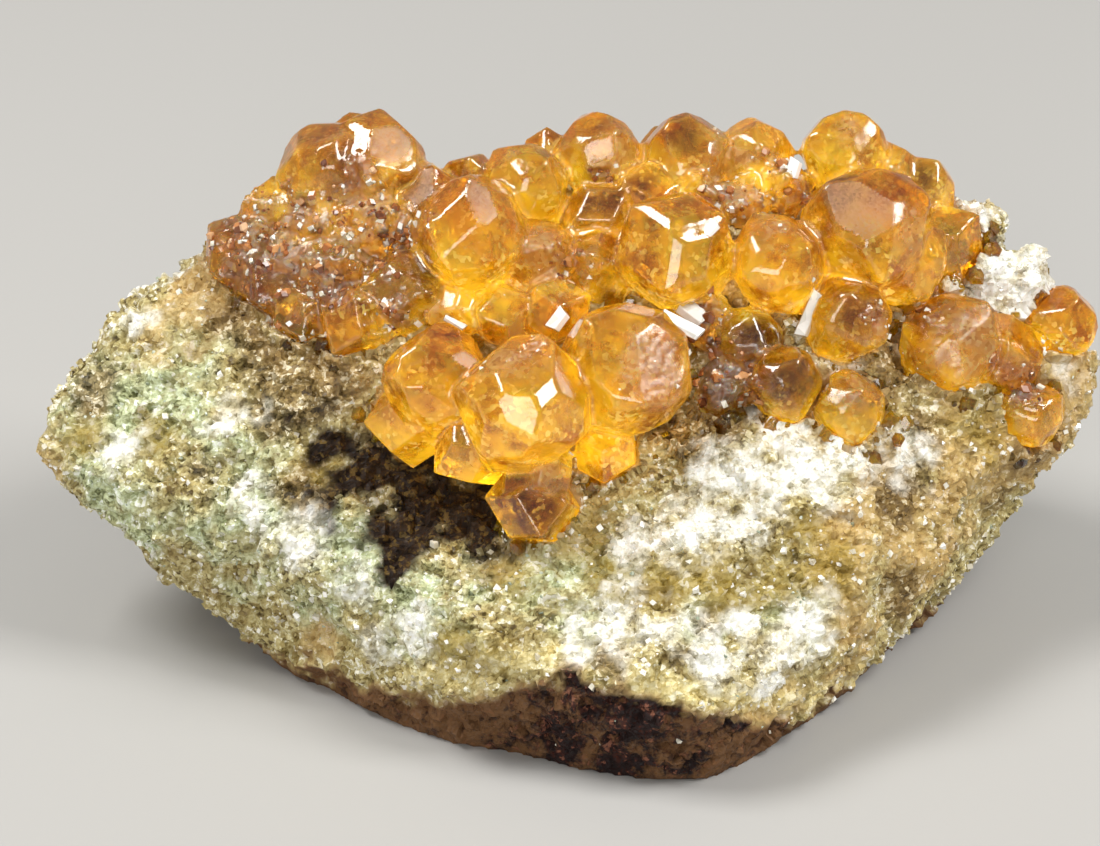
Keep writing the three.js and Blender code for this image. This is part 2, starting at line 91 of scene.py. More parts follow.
def surface_tree(objects):
    """One searchable tree of all the triangles of some objects."""
    corners, faces = [], []
    for obj in objects:
        first = len(corners)
        corners += [v.co.copy() for v in obj.data.vertices]
        faces += [[first + i for i in face.vertices] for face in obj.data.polygons]
    return BVHTree.FromPolygons(corners, faces)


GARNET_NODES = sorted(name for name in frame["nodes"] if name.startswith("garnet"))
garnet_tree = surface_tree([frame["nodes"][name] for name in GARNET_NODES])
rock_tree = surface_tree([frame["nodes"]["matrix_rock"]])


def facet_seen(tree, across, up):
    """The point and the normal of the face that the sight line of (across, up) first meets."""
    start = on_sight_plane(across, up) - AWAY * RAY_START * MM
    point, normal, _, _ = tree.ray_cast(start, AWAY)
    return (point, normal) if point else (on_sight_plane(across, up), -AWAY)


def seen(tree, across, up):
    """The point where that sight line first meets the tree."""
    return facet_seen(tree, across, up)[0]


print("top of the left crystal in mm:", [round(c / MM, 1) for c in seen(garnet_tree, -11.5, 37)])

# %% [markdown]
# ## Repeatable noise
# A broken crystalline rock is made of grains. Each grain has its own height and its own slant,
# which gives the sugary sparkle of marble. Two functions do it, for arrays of points: smooth
# lattice noise, and the nearest grain of a jittered grid. Both work from a formula instead of a
# random generator, so that the same rock comes out each time.


# %% Noise and grains
def hash01(cell, salt):
    """A repeatable number from 0 to 1 for each whole-numbered cell."""
    mixed = cell @ np.array([127.1, 311.7, 74.7]) + salt * 19.19
    return np.mod(np.sin(mixed) * 43758.5453, 1.0)


def smooth_noise(points, size, salt=0):
    """Lattice noise from -1 to 1, with lumps of about the given size."""
    scaled = points / size
    low = np.floor(scaled)
    t = scaled - low
    t = t * t * (3 - 2 * t)
    total = np.zeros(len(points))
    for corner in np.ndindex(2, 2, 2):
        share = np.prod(np.where(corner, t, 1 - t), axis=1)
        total += share * hash01(low + corner, salt)
    return 2 * total - 1


def grain_pattern(points, size, salt=0):
    """For each point: its grain's number, the way to the grain's middle, and the edge distance."""
    cells = np.floor(points / size)
    nearest = np.full(len(points), np.inf)
    second = np.full(len(points), np.inf)
    number = np.zeros(len(points))
    offset = np.zeros_like(points)
    for step in np.ndindex(3, 3, 3):
        cell = cells + np.array(step) - 1
        jitter = np.stack([hash01(cell, salt + k) for k in (1, 2, 3)], axis=1)
        away = points - (cell + jitter) * size
        distance = np.linalg.norm(away, axis=1)
        closer = distance < nearest
        second = np.where(closer, nearest, np.minimum(second, distance))
        nearest = np.where(closer, distance, nearest)
        number = np.where(closer, hash01(cell, salt + 4), number)
        offset = np.where(closer[:, None], away, offset)
    return number, offset, (second - nearest) / size


def grain_relief(points, size, height, salt=0):
    """Flat slanting grains: a step from grain to grain, a slant of each, and a groove between."""
    number, offset, edge = grain_pattern(points, size, salt)
    slant_axis = [np.sin(40 * number), np.cos(70 * number), np.sin(110 * number + 1)]
    slant = np.sum(offset * np.stack(slant_axis, axis=1), axis=1) / size
    groove = np.clip(1 - edge / 0.12, 0, 1)
    return height * ((number - 0.5) + 1.1 * slant - 0.45 * groove)


# %% [markdown]
# ## The skin of the rock
# The solid of the rock has flat facets of 2 mm. A voxel remesh turns a merged copy of it into an
# even mesh fine enough for single grains, and each point then moves along its normal. Next to a
# garnet the rock closes up to it instead, because on the real piece they have grown together.

# %% Copy and remesh the rock
VOXEL = 0.30 * MM
TOUCH = 0.03 * MM  # what is left between the rock and a garnet
CLOSING = 0.62 * MM  # the rock closes on a garnet that is nearer than this
FADE = 1.3 * MM  # and its grains reach full height at this distance


def linked(name, data):
    """A new object in the scene."""
    obj = bpy.data.objects.new(name, data)
    bpy.context.scene.collection.objects.link(obj)
    return obj


def mesh_of(work, name):
    """The finished mesh of what a bmesh holds."""
    mesh = bpy.data.meshes.new(name)
    work.to_mesh(mesh)
    work.free()
    return mesh


def merged_copy(node, name):
    """A copy of a solid whose loose triangles are joined up."""
    mesh = frame["nodes"][node].data.copy()
    mesh.materials.clear()
    work = bmesh.new()
    work.from_mesh(mesh)
    bmesh.ops.remove_doubles(work, verts=work.verts, dist=1e-7)
    work.to_mesh(mesh)
    work.free()
    return linked(name, mesh)


def made_plain(obj):
    """The object with its modifiers turned into mesh."""
    graph = bpy.context.evaluated_depsgraph_get()
    mesh = bpy.data.meshes.new_from_object(obj.evaluated_get(graph))
    obj.modifiers.clear()
    obj.data = mesh
    return obj


def points_of(mesh, kind="co"):
    """The points or the point normals of a mesh as an array."""
    values = np.zeros(len(mesh.vertices) * 3)
    if kind == "co":
        mesh.vertices.foreach_get("co", values)
    else:
        mesh.vertex_normals.foreach_get("vector", values)
    return values.reshape(-1, 3)


rock = merged_copy("matrix_rock", "rock")
remesh = rock.modifiers.new("even", "REMESH")
remesh.mode = "VOXEL"
remesh.voxel_size = VOXEL
rock = made_plain(rock)
print("rock after the remesh:", len(rock.data.vertices), "points")

# %% Raise the grains
def distance_to(tree, points):
    """How far each point is from a surface."""
    return np.array([tree.find_nearest(Vector(p))[3] for p in points])


def raise_grains(obj):
    """Moves the points of the rock along their normals and returns the distances to the garnets."""
    points = points_of(obj.data)
    normals = points_of(obj.data, "normal")
    to_garnet = distance_to(garnet_tree, points)
    relief = grain_relief(points, 1.7 * MM, 0.36 * MM, salt=1)
    relief += grain_relief(points, 0.8 * MM, 0.20 * MM, salt=7)
    relief += 0.22 * MM * smooth_noise(points, 3.1 * MM, salt=5)
    relief += 0.07 * MM * smooth_noise(points, 0.45 * MM, salt=9)
    strength = np.clip((to_garnet - CLOSING) / (FADE - CLOSING), 0, 1)
    closing = np.where(to_garnet < CLOSING, to_garnet - TOUCH, 0)
    above_ground = np.clip(points[:, 2] / (1.0 * MM), 0, 1)
    move = (relief * strength + closing) * above_ground
    points += normals * move[:, None]
    points[:, 2] = np.maximum(points[:, 2], 0)
    obj.data.vertices.foreach_set("co", points.ravel())
    obj.data.update()
    return to_garnet


rock_to_garnet = raise_grains(rock)
print("points beside a garnet:", int(np.sum(rock_to_garnet < CLOSING)))

# %% [markdown]
# ## Where the rock changes colour
# The colour zones are painted as point attributes, from soft balls around places on the surface
# and from the noise above: chalk white calcite, green-grey diopside, brown stains beside the
# garnets, tan ledges on the right, the nearly black hollow and the rust red underside. The hollow
# is dark stone darkened further by painted shade, a few brown spots in the right recesses are
# painted shade, and the underside is rust stain darkened by painted shade. Right under each garnet
# the rock is painted bright cream, a painted light that shows through the clear crystal. On the
# hidden side noise alone lays them out. An image texture would be the other way. Attributes keep
# every edge as rough as the noise makes it.

# %% Paint the zones
WHITE_SPOTS = [(-17.6, 14.6, 1.5), (-12.4, 11.6, 1.5), (-14.6, 15.8, 1.2), (4.0, 9.8, 1.9),
               (2.2, 10.0, 1.8), (6.2, 9.8, 1.6), (13.0, 8.0, 2.6), (9.1, 7.7, 1.6),
               (11.2, 9.6, 1.4), (14.6, 9.2, 1.8), (-8.7, 9.4, 1.7), (-10.6, 8.2, 1.5),
               (4.6, 15.0, 1.5), (-18.9, 17.9, 1.3), (8.4, 15.7, 2.8), (12.0, 16.9, 2.4),
               (15.6, 18.7, 2.2), (10.0, 18.6, 1.8), (-26.1, 19.4, 1.4), (-20.0, 21.7, 1.6),
               (-25.6, 27.6, 1.2), (-15.0, 13.4, 1.6), (-18.4, 15.8, 1.2), (27.0, 30.2, 5.0),
               (24.6, 34.0, 3.4), (20.2, 39.2, 3.0), (23.0, 30.4, 3.0), (23.8, 28.2, 3.2),
               (24.0, 23.4, 2.0), (29.4, 24.8, 2.0), (13.2, 21.0, 1.6), (16.8, 25.0, 1.4),
               (21.0, 19.6, 1.8)]
GREEN_SPOTS = [(-24.6, 22.6, 5.4), (-26.4, 17.4, 4.6), (-19.2, 15.4, 4.4), (-12.6, 13.6, 4.2),
               (-8.0, 11.0, 4.0), (0.0, 12.8, 3.4), (8.0, 9.2, 2.2), (13.6, 10.6, 2.4),
               (-21.6, 25.6, 3.4), (-19.0, 19.4, 3.6), (-14.4, 10.8, 3.2)]
# Brown stains; the small spots near across 20 and 27 in the right recesses are painted shade
BROWN_SPOTS = [(-16.8, 24.6, 3.2), (-18.4, 26.0, 2.6), (-13.0, 25.4, 2.2), (-21.4, 18.6, 1.4),
               (-15.6, 17.4, 2.2), (-17.2, 22.2, 2.6), (-14.4, 23.6, 3.0), (-14.8, 27.0, 3.4),
               (-19.4, 27.4, 2.0), (9.6, 25.6, 3.4), (8.4, 21.4, 2.2), (7.4, 8.2, 1.3),
               (8.5, 9.5, 1.3), (6.4, 21.0, 2.2), (7.8, 20.2, 1.6), (28.8, 19.4, 2.2),
               (3.0, 7.6, 1.4), (20.4, 24.6, 2.6), (22.0, 21.0, 1.6), (20.0, 17.2, 1.6),
               (20.2, 15.6, 1.2), (19.9, 12.2, 1.3), (20.4, 10.8, 1.2), (27.0, 16.6, 1.4),
               (21.4, 18.4, 1.2), (-28.2, 23.6, 1.5), (-21.2, 17.2, 1.1)]
OLIVE_SPOTS = [(2.6, 12.6, 2.2), (6.0, 12.4, 2.4), (9.4, 12.2, 2.4), (12.8, 12.0, 2.4),
               (15.4, 12.6, 2.0), (14.0, 15.2, 2.0), (1.4, 14.6, 2.2), (-3.0, 13.0, 1.8),
               (18.8, 21.6, 2.6), (25.6, 21.6, 2.6), (-14.0, 19.0, 2.0), (-24.0, 20.6, 1.6),
               (-28.6, 20.6, 1.2), (-6.4, 8.2, 1.6), (-3.6, 7.8, 1.6)]
TAN_SPOTS = [(-22.0, 28.8, 3.4), (-24.6, 27.0, 2.0), (20.4, 14.4, 4.6), (23.2, 13.4, 3.4),
             (16.8, 14.4, 3.0), (26.8, 18.4, 4.0), (29.6, 20.6, 3.6), (24.0, 19.0, 3.4),
             (16.6, 6.4, 2.2), (-31.0, 19.0, 1.6), (12.2, 4.6, 3.0), (-14.0, 8.6, 1.8),
             (19.6, 18.0, 3.0), (31.0, 23.6, 4.0), (17.4, 9.6, 2.2)]
# The hollow and a recess: dark stone, darkened further as painted shade
DARK_AND_SHADE_SPOTS = [(-8.6, 17.4, 4.5), (-11.4, 18.6, 3.3), (-5.2, 16.0, 3.2), (-13.6, 20.2, 2.0),
              (10.2, 23.8, 2.2)]


# The lip over the rust red underside, which is rust stain and painted shade, as (across, up) in mm
LIP = np.array([(-16, 6.2), (-13.8, 6.6), (-8.3, 5.7), (-4.5, 6.0), (-2.5, 6.8), (0.2, 7.2),
                (5.0, 5.7), (8.0, 5.0), (14.6, 4.1), (19, 5.6)])

ZONES = {"white": WHITE_SPOTS, "green": GREEN_SPOTS, "brown": BROWN_SPOTS, "olive": OLIVE_SPOTS,
         "tan": TAN_SPOTS, "dark": DARK_AND_SHADE_SPOTS}
# How much of the hidden side each zone takes, from none at -3 to half at 0
WILD_SHARE = {"white": -0.45, "green": 0.1, "brown": -0.75, "olive": -0.6, "tan": -0.3,
              "dark": -3.0}
ZONE_STRENGTH = {"white": 1.6, "dark": 2.2}  # how firmly a zone covers what lies under it


def in_view(points):
    """Where points lie in the front view: across and up, in mm."""
    across = points[:, 0] / MM + ACROSS_ZERO
    back = points[:, 1] / MM - FOREMOST_Y
    return across, math.cos(VIEW_TILT) * points[:, 2] / MM + math.sin(VIEW_TILT) * back


def spots_mask(points, spots, ragged, tree=rock_tree):
    """From 0 to 1, how much of some soft balls each point takes, with ragged edges."""
    mask = np.full(len(points), -1.0)
    for across, up, radius in spots:
        middle = np.array(seen(tree, across, up))
        near = 1.25 - np.linalg.norm(points - middle, axis=1) / (radius * MM)
        mask = np.maximum(mask, near + ragged)
    return np.clip(mask, 0, 1)


def paint(obj, name, values):
    """Stores one number for each point of the mesh."""
    layer = obj.data.attributes.new(name, "FLOAT", "POINT")
    layer.data.foreach_set("value", values.astype(np.float32))


def paint_zones(obj):
    """Paints every colour zone of the rock, painted shade and painted light among them."""
    points = points_of(obj.data)
    normals = points_of(obj.data, "normal")
    ragged = 0.55 * smooth_noise(points, 2.6 * MM, salt=21)
    ragged += 0.45 * smooth_noise(points, 0.9 * MM, salt=22)
    hidden = np.clip(0.3 + normals[:, 1] / 0.35, 0, 1) * np.clip(points[:, 1] / (6 * MM), 0, 1)
    for k, (name, spots) in enumerate(ZONES.items()):
        shifted = points + np.array([0.013, 0.007, 0.005]) * k
        own = ragged + 0.35 * smooth_noise(shifted, 1.5 * MM, salt=30 + k)
        mask = spots_mask(points, spots, own)
        wild = WILD_SHARE[name] + 2.2 * smooth_noise(points, 6.5 * MM, salt=50 + k) + 0.8 * own
        mask = np.maximum(mask, np.clip(wild, 0, 1) * hidden)
        paint(obj, name, np.clip(mask * ZONE_STRENGTH.get(name, 1.2), 0, 1))
    # Rust stain and painted shade: below the front lip, and low down where the surface faces down
    across, up = in_view(points)
    lip = np.interp(across, LIP[:, 0], LIP[:, 1])
    below = (lip - up) / 1.2 + 1.1 * ragged
    in_front = np.clip(1.0 + (-0.2 - normals[:, 1]) / 0.3, 0, 1)
    in_front *= np.clip((across + 15.5) / 2.5 + ragged, 0, 1)
    tide = 3.2 * MM + 2.2 * MM * smooth_noise(points, 7.5 * MM, salt=48)
    low = np.clip((tide - points[:, 2]) / (1.4 * MM) + 1.4 * ragged, 0, 1)
    facing_down = np.clip(0.3 - normals[:, 2] * 1.5 + 0.5 * ragged, 0, 1)
    paint(obj, "rust", np.clip(1.5 * np.maximum(below * in_front, low * facing_down), 0, 1))
    rim = np.clip(1.3 - np.abs(up - lip - 0.9) / 0.9 + 0.9 * ragged, 0, 1)
    paint(obj, "rim", rim * np.clip((across + 11) / 3, 0, 1) * (normals[:, 1] < 0.2))
    sooty = np.exp(-(((across - 4.0) / 9.0) ** 2)) + 0.5 * ragged
    paint(obj, "sooty", np.clip(sooty, 0, 1))
    beside = np.clip(1.2 - rock_to_garnet / (2.0 * MM) + 0.6 * ragged, 0, 1)
    paint(obj, "beside", beside)
    # Painted light: right under a garnet the rock is bright cream, so the crystal glows
    paint(obj, "socket", np.clip(1.6 - rock_to_garnet / (0.28 * MM), 0, 1))


paint_zones(rock)
print("zones painted:", [a.name for a in rock.data.attributes if a.data_type == "FLOAT"])

# %% [markdown]
# ## Shared finishes
# Two effects return in more than one material, so each is a node group with named inputs. Fine
# grain breaks a surface up into sparkling specks. Speckle puts small spots on it: dark stains on
# the rock, and dull places on the faces of the crystals.


# %% Helpers for node trees
def new_group(name, inputs, outputs):
    """An empty shader group of numbers: its inputs with their values, and its outputs."""
    group = bpy.data.node_groups.new(name, "ShaderNodeTree")
    for label, value in inputs.items():
        socket = group.interface.new_socket(label, in_out="INPUT", socket_type="NodeSocketFloat")
        socket.default_value = value
    for label in outputs:
        group.interface.new_socket(label, in_out="OUTPUT", socket_type="NodeSocketFloat")
    return group, group.nodes.new("NodeGroupInput"), group.nodes.new("NodeGroupOutput")


def node(tree, kind, links=None, **settings):
    """Adds a node, sets its properties and input values, and links its inputs."""
    made = tree.nodes.new(kind)
    for key, value in settings.items():
        if hasattr(made, key):
            setattr(made, key, value)
    for key, source in (links or {}).items():
        socket = made.inputs[key]
        if isinstance(source, bpy.types.NodeSocket):
            tree.links.new(source, socket)
        else:
            socket.default_value = source
    return made


def ramp(tree, factor, stops):
    """A colour ramp with its stops as (place, colour)."""
    made = node(tree, "ShaderNodeValToRGB", {"Fac": factor})
    while len(made.color_ramp.elements) < len(stops):
        made.color_ramp.elements.new(1)
    for element, (place, colour) in zip(made.color_ramp.elements, stops):
        element.position = place
        element.color = (*colour, 1)
    return made.outputs["Color"]


def mixed(tree, factor, first, second, blend="MIX"):
    """One colour over another by a factor."""
    made = node(tree, "ShaderNodeMix", data_type="RGBA", blend_type=blend)
    for place, source in ((0, factor), (6, first), (7, second)):
        if isinstance(source, bpy.types.NodeSocket):
            tree.links.new(source, made.inputs[place])
        else:
            made.inputs[place].default_value = source if place == 0 else (*source, 1)
    return made.outputs[2]


def value_math(tree, operation, first, second=0.0, clamp=False):
    """One arithmetic step on numbers."""
    made = node(tree, "ShaderNodeMath", {0: first, 1: second}, operation=operation, use_clamp=clamp)
    return made.outputs[0]


def times(tree, first, second, clamp=False):
    """The product of two numbers."""
    return value_math(tree, "MULTIPLY", first, second, clamp)


def plus(tree, first, second, clamp=False):
    """The sum of two numbers."""
    return value_math(tree, "ADD", first, second, clamp)


def minus(tree, first, second):
    """The difference of two numbers."""
    return value_math(tree, "SUBTRACT", first, second)


def noise(tree, place, scale, detail, roughness=0.5, distortion=0.0):
    """The value of a noise texture."""
    settings = {"Vector": place, "Scale": scale, "Detail": detail, "Roughness": roughness}
    return node(tree, "ShaderNodeTexNoise", {**settings, "Distortion": distortion}).outputs["Fac"]


def stretched(tree, value, low, high, first=0.0, last=1.0):
    """Maps the span from low to high onto the span from first to last."""
    spans = {"Value": value, "From Min": low, "From Max": high, "To Min": first, "To Max": last}
    return node(tree, "ShaderNodeMapRange", spans).outputs["Result"]


def bumped(tree, shader, height, distance, strength):
    """Gives a shader fine relief."""
    settings = {"Height": height, "Distance": distance, "Strength": strength}
    bump = node(tree, "ShaderNodeBump", settings)
    tree.links.new(bump.outputs["Normal"], shader.inputs["Normal"])


# %% Fine grain and speckle
def make_fine_grain():
    """Small crystalline specks: a height for bump and a value for tint."""
    settings = {"Size mm": 0.4, "Roundness": 0.3}
    group, ins, outs = new_group("fine grain", settings, ["Height", "Tint"])
    place = node(group, "ShaderNodeTexCoord").outputs["Object"]
    scale = value_math(group, "DIVIDE", 1000.0, ins.outputs["Size mm"])
    cells = node(group, "ShaderNodeTexVoronoi", {"Vector": place, "Scale": scale})
    smooth = noise(group, place, scale, 3.0)
    tint = node(group, "ShaderNodeSeparateColor", {"Color": cells.outputs["Color"]}).outputs[0]
    round_part = times(group, smooth, ins.outputs["Roundness"])
    height = plus(group, times(group, tint, 0.7), round_part)
    group.links.new(height, outs.inputs["Height"])
    group.links.new(tint, outs.inputs["Tint"])
    return group


def make_speckle():
    """Scattered small spots, as a mask."""
    group, ins, outs = new_group("speckle", {"Size mm": 1.0, "Share": 0.3}, ["Mask"])
    place = node(group, "ShaderNodeTexCoord").outputs["Object"]
    scale = value_math(group, "DIVIDE", 1000.0, ins.outputs["Size mm"])
    least = minus(group, 0.78, ins.outputs["Share"])
    above = minus(group, noise(group, place, scale, 5.0, 0.65), least)
    mask = times(group, above, 12.0, clamp=True)
    group.links.new(mask, outs.inputs["Mask"])
    return group


FINE_GRAIN = make_fine_grain()
SPECKLE = make_speckle()


def grouped(tree, group, values):
    """Places a shared group in a material."""
    made = tree.nodes.new("ShaderNodeGroup")
    made.node_tree = group
    for label, value in values.items():
        made.inputs[label].default_value = value
    return made


def new_material(name, **plain):
    """A material with a Principled shader and its plain values."""
    material = bpy.data.materials.new(name)
    material.use_nodes = True
    shader = material.node_tree.nodes["Principled BSDF"]
    for label, value in plain.items():
        shader.inputs[label.replace("_", " ")].default_value = value
    return material, material.node_tree, shader


print("shared groups:", FINE_GRAIN.name, "and", SPECKLE.name)

# %% [markdown]
# ## The rock's colour
# The attributes say where each mineral lies and where painted shade and painted light go, and the
# fine grain varies every colour from speck to speck. Calcite is glossier than the stained parts, so
# roughness follows the same masks.


# %% Rock material
def attribute(tree, name):
    """The factor of a painted zone."""
    return node(tree, "ShaderNodeAttribute", attribute_name=name).outputs["Fac"]


OLIVE = (0.36, 0.25, 0.035)
TAN = (0.66, 0.42, 0.15)
STAINED = (0.28, 0.19, 0.06)
BESIDE_GARNET = (0.36, 0.20, 0.06)
SOCKET_LIGHT_CREAM = (0.92, 0.80, 0.52)
RUST_AND_SHADE_PALE = (0.19, 0.092, 0.034)
RUST_AND_SHADE_TAN = (0.40, 0.25, 0.10)
# Ramps from the dark gaps between grains to the brightest grains
CREAM_RAMP = [(0.0, (0.10, 0.065, 0.02)), (0.30, (0.36, 0.28, 0.10)), (0.62, (0.56, 0.47, 0.21)),
              (0.86, (0.70, 0.64, 0.37)), (0.94, (0.98, 0.95, 0.80))]
GREEN_RAMP = [(0.0, (0.13, 0.15, 0.06)), (0.30, (0.42, 0.47, 0.26)), (0.62, (0.62, 0.70, 0.44)),
              (0.86, (0.77, 0.87, 0.67)), (0.94, (0.95, 1.0, 0.92))]
CHALK_RAMP = [(0.0, (0.60, 0.56, 0.40)), (0.25, (0.84, 0.83, 0.72)), (0.6, (0.97, 0.97, 0.93)),
              (1.0, (0.98, 0.98, 0.96))]
RIM_RAMP = [(0.0, (0.55, 0.43, 0.14)), (0.5, (0.84, 0.72, 0.34)), (1.0, (0.98, 0.92, 0.62))]
BROWN_RAMP = [(0.0, (0.03, 0.016, 0.005)), (0.4, (0.14, 0.08, 0.02)), (0.75, (0.30, 0.19, 0.06)),
              (0.95, (0.80, 0.70, 0.48))]
RUST_AND_SHADE_RAMP = [(0.0, (0.006, 0.001, 0.001)), (0.6, (0.016, 0.003, 0.002)),
             (0.88, (0.055, 0.013, 0.007)), (1.0, (0.22, 0.085, 0.05))]
PIT_DARK_AND_SHADE_RAMP = [(0.0, (0.006, 0.002, 0.001)), (0.7, (0.028, 0.012, 0.003)),
            (0.95, (0.13, 0.080, 0.020))]


def make_rock_material():
    """White, green, brown and rust red by the painted zones, with painted shade and painted light.
    """
    material, tree, shader = new_material("sugary rock", IOR=1.5, Specular_IOR_Level=0.35)
    place = node(tree, "ShaderNodeTexCoord").outputs["Object"]
    fine = grouped(tree, FINE_GRAIN, {"Size mm": 0.30, "Roundness": 0.4})
    tiny = grouped(tree, FINE_GRAIN, {"Size mm": 0.14, "Roundness": 0.2})
    mottle = stretched(tree, noise(tree, place, 1100.0, 5.0, 0.6), 0.32, 0.68, -0.30, 0.34)
    tint = times(tree, fine.outputs["Tint"], 0.72)
    tint = plus(tree, tint, times(tree, tiny.outputs["Tint"], 0.30))
    tint = plus(tree, tint, mottle, clamp=True)
    patches = stretched(tree, noise(tree, place, 520.0, 6.0, 0.62), 0.38, 0.53, 0.15, 1.0)

    def share(zone, most):
        """A zone's factor, weakened."""
        return times(tree, attribute(tree, zone), most)

    colour = ramp(tree, tint, CREAM_RAMP)
    colour = mixed(tree, share("green", 0.85), colour, ramp(tree, tint, GREEN_RAMP))
    colour = mixed(tree, share("tan", 0.6), colour, TAN)
    colour = mixed(tree, share("olive", 0.72), colour, OLIVE)
    colour = mixed(tree, share("rim", 0.8), colour, ramp(tree, tint, RIM_RAMP))
    stains = grouped(tree, SPECKLE, {"Size mm": 2.2, "Share": 0.26})
    colour = mixed(tree, times(tree, stains.outputs["Mask"], 0.4), colour, STAINED)
    colour = mixed(tree, share("brown", 0.80), colour, ramp(tree, tint, BROWN_RAMP))
    colour = mixed(tree, share("beside", 0.35), colour, BESIDE_GARNET)
    chalky = times(tree, attribute(tree, "white"), patches)
    colour = mixed(tree, chalky, colour, ramp(tree, tint, CHALK_RAMP))
    blotches = noise(tree, place, 430.0, 7.0, 0.72)
    leaning = times(tree, minus(tree, attribute(tree, "sooty"), 0.5), 0.30)
    sooty = minus(tree, plus(tree, blotches, leaning), 0.53)
    sooty = times(tree, sooty, 10.0, clamp=True)
    crumbs = grouped(tree, SPECKLE, {"Size mm": 0.8, "Share": 0.24})
    sooty = value_math(tree, "MAXIMUM", sooty, times(tree, crumbs.outputs["Mask"], 0.7))
    # The underside: rust stain darkened further as painted shade
    under = mixed(tree, 0.2, RUST_AND_SHADE_PALE, ramp(tree, tint, RUST_AND_SHADE_RAMP))
    under = mixed(tree, sooty, under, ramp(tree, tint, RUST_AND_SHADE_RAMP))
    edge_tan = times(tree, attribute(tree, "rust"), 2.0, clamp=True)
    colour = mixed(tree, times(tree, edge_tan, 0.6), colour, RUST_AND_SHADE_TAN)
    deep_rust_and_shade = minus(tree, attribute(tree, "rust"), 0.35)
    colour = mixed(tree, times(tree, deep_rust_and_shade, 1.8, clamp=True), colour, under)
    # Painted shade over the dark stone in the hollow and a recess
    colour = mixed(tree, attribute(tree, "dark"), colour, ramp(tree, tint, PIT_DARK_AND_SHADE_RAMP))
    # Painted light under the garnets, seen through their clear body
    colour = mixed(tree, attribute(tree, "socket"), colour, SOCKET_LIGHT_CREAM)
    tree.links.new(colour, shader.inputs["Base Color"])
    rough = stretched(tree, tiny.outputs["Tint"], 0.0, 1.0, 0.22, 0.7)
    deep = value_math(tree, "MAXIMUM", attribute(tree, "rust"), attribute(tree, "dark"))
    rough = plus(tree, rough, times(tree, deep, 0.3), clamp=True)
    tree.links.new(rough, shader.inputs["Roughness"])
    height = plus(tree, fine.outputs["Height"], times(tree, tiny.outputs["Height"], 0.45))
    bumped(tree, shader, height, 0.13 * MM, 1.0)
    return material


def triangle_count(obj):
    """How many triangles an object's faces make."""
    return sum(len(face.vertices) - 2 for face in obj.data.polygons)


ROCK = make_rock_material()
rock.data.materials.append(ROCK)
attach(rock, "root")
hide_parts("matrix_rock")
print("rock triangles:", triangle_count(rock))

# %% [markdown]
# ## Garnets
# Hessonite is clear honey amber, clouded by healed cracks. Its glassy light comes from three
# things: a high index of refraction, the colour it takes from the way that light travels inside,
# and flat faces with worn edges. Light also gathers at the foot of each crystal, where its faces
# send it back to the eye. A renderer finds little of that light between closely packed crystals,
# so a weak amber glow stands for it. It is painted on by height, as the specimen is seen from the
# front. A bevel could round the edges, but it fails on slivers where crystals meet. An even remesh
# with a little smoothing rounds them all alike, keeps the faces flat and gives enough points to
# raise the gritty crust that covers some of the crystals.

# %% Where the garnets differ
CRUST_SPOTS = [(-11.4, 33.4, 3.4), (-15.6, 34.0, 3.0), (-18.6, 32.5, 3.0), (-16.2, 31.0, 2.6),
               (-13.6, 30.6, 2.6), (0.4, 31.0, 1.3), (-12.6, 35.4, 1.6), (2.4, 36.9, 1.0),
               (9.6, 34.6, 1.8), (11.4, 34.4, 2.0), (13.8, 36.7, 1.6), (-1.9, 25.9, 0.9),
               (8.6, 26.2, 2.6), (10.2, 24.6, 2.8), (-9.6, 27.7, 1.8), (21.4, 28.0, 1.5),
               (19.4, 27.6, 1.4), (28.2, 24.0, 1.8), (-19.6, 35.0, 2.4)]
YELLOW_SPOTS = [(-2.1, 35.9, 2.8), (12.0, 38.0, 2.4), (17.5, 38.2, 2.9), (-7.4, 23.8, 3.2),
                (3.7, 24.7, 4.0), (-2.3, 22.4, 3.8), (7.0, 31.9, 3.2), (13.1, 30.6, 2.6),
                (-6.6, 30.4, 1.6), (-16.5, 30.4, 1.6), (16.7, 23.2, 2.1), (-9.4, 34.0, 1.4),
                (22.4, 25.4, 2.4)]
CLOUDED_SPOTS = [(-1.3, 30.8, 2.3), (-0.2, 37.3, 1.1), (3.7, 38.1, 1.9), (-3.1, 25.4, 2.3),
                 (5.7, 24.6, 2.3), (9.8, 35.5, 1.8), (13.0, 33.2, 1.5), (10.2, 37.6, 1.6),
                 (20.7, 32.4, 1.5), (17.6, 23.9, 1.7), (-7.2, 28.4, 1.4), (-17.6, 33.0, 1.7),
                 (-13.0, 32.0, 1.7), (26.0, 27.2, 1.8), (-0.9, 18.4, 1.4), (17.8, 39.2, 1.2),
                 (-10.8, 34.4, 1.3), (15.2, 30.2, 1.2), (24.4, 26.8, 2.6), (22.8, 25.2, 2.0),
                 (12.2, 34.0, 1.2)]
OLIVE_SPOTS_CLEAR = [(-9.4, 29.5, 2.2), (2.0, 30.8, 2.0), (23.4, 32.8, 1.8), (28.2, 22.9, 2.6),
                     (9.9, 25.3, 3.4), (-5.6, 20.6, 1.8), (2.4, 35.2, 1.8)]
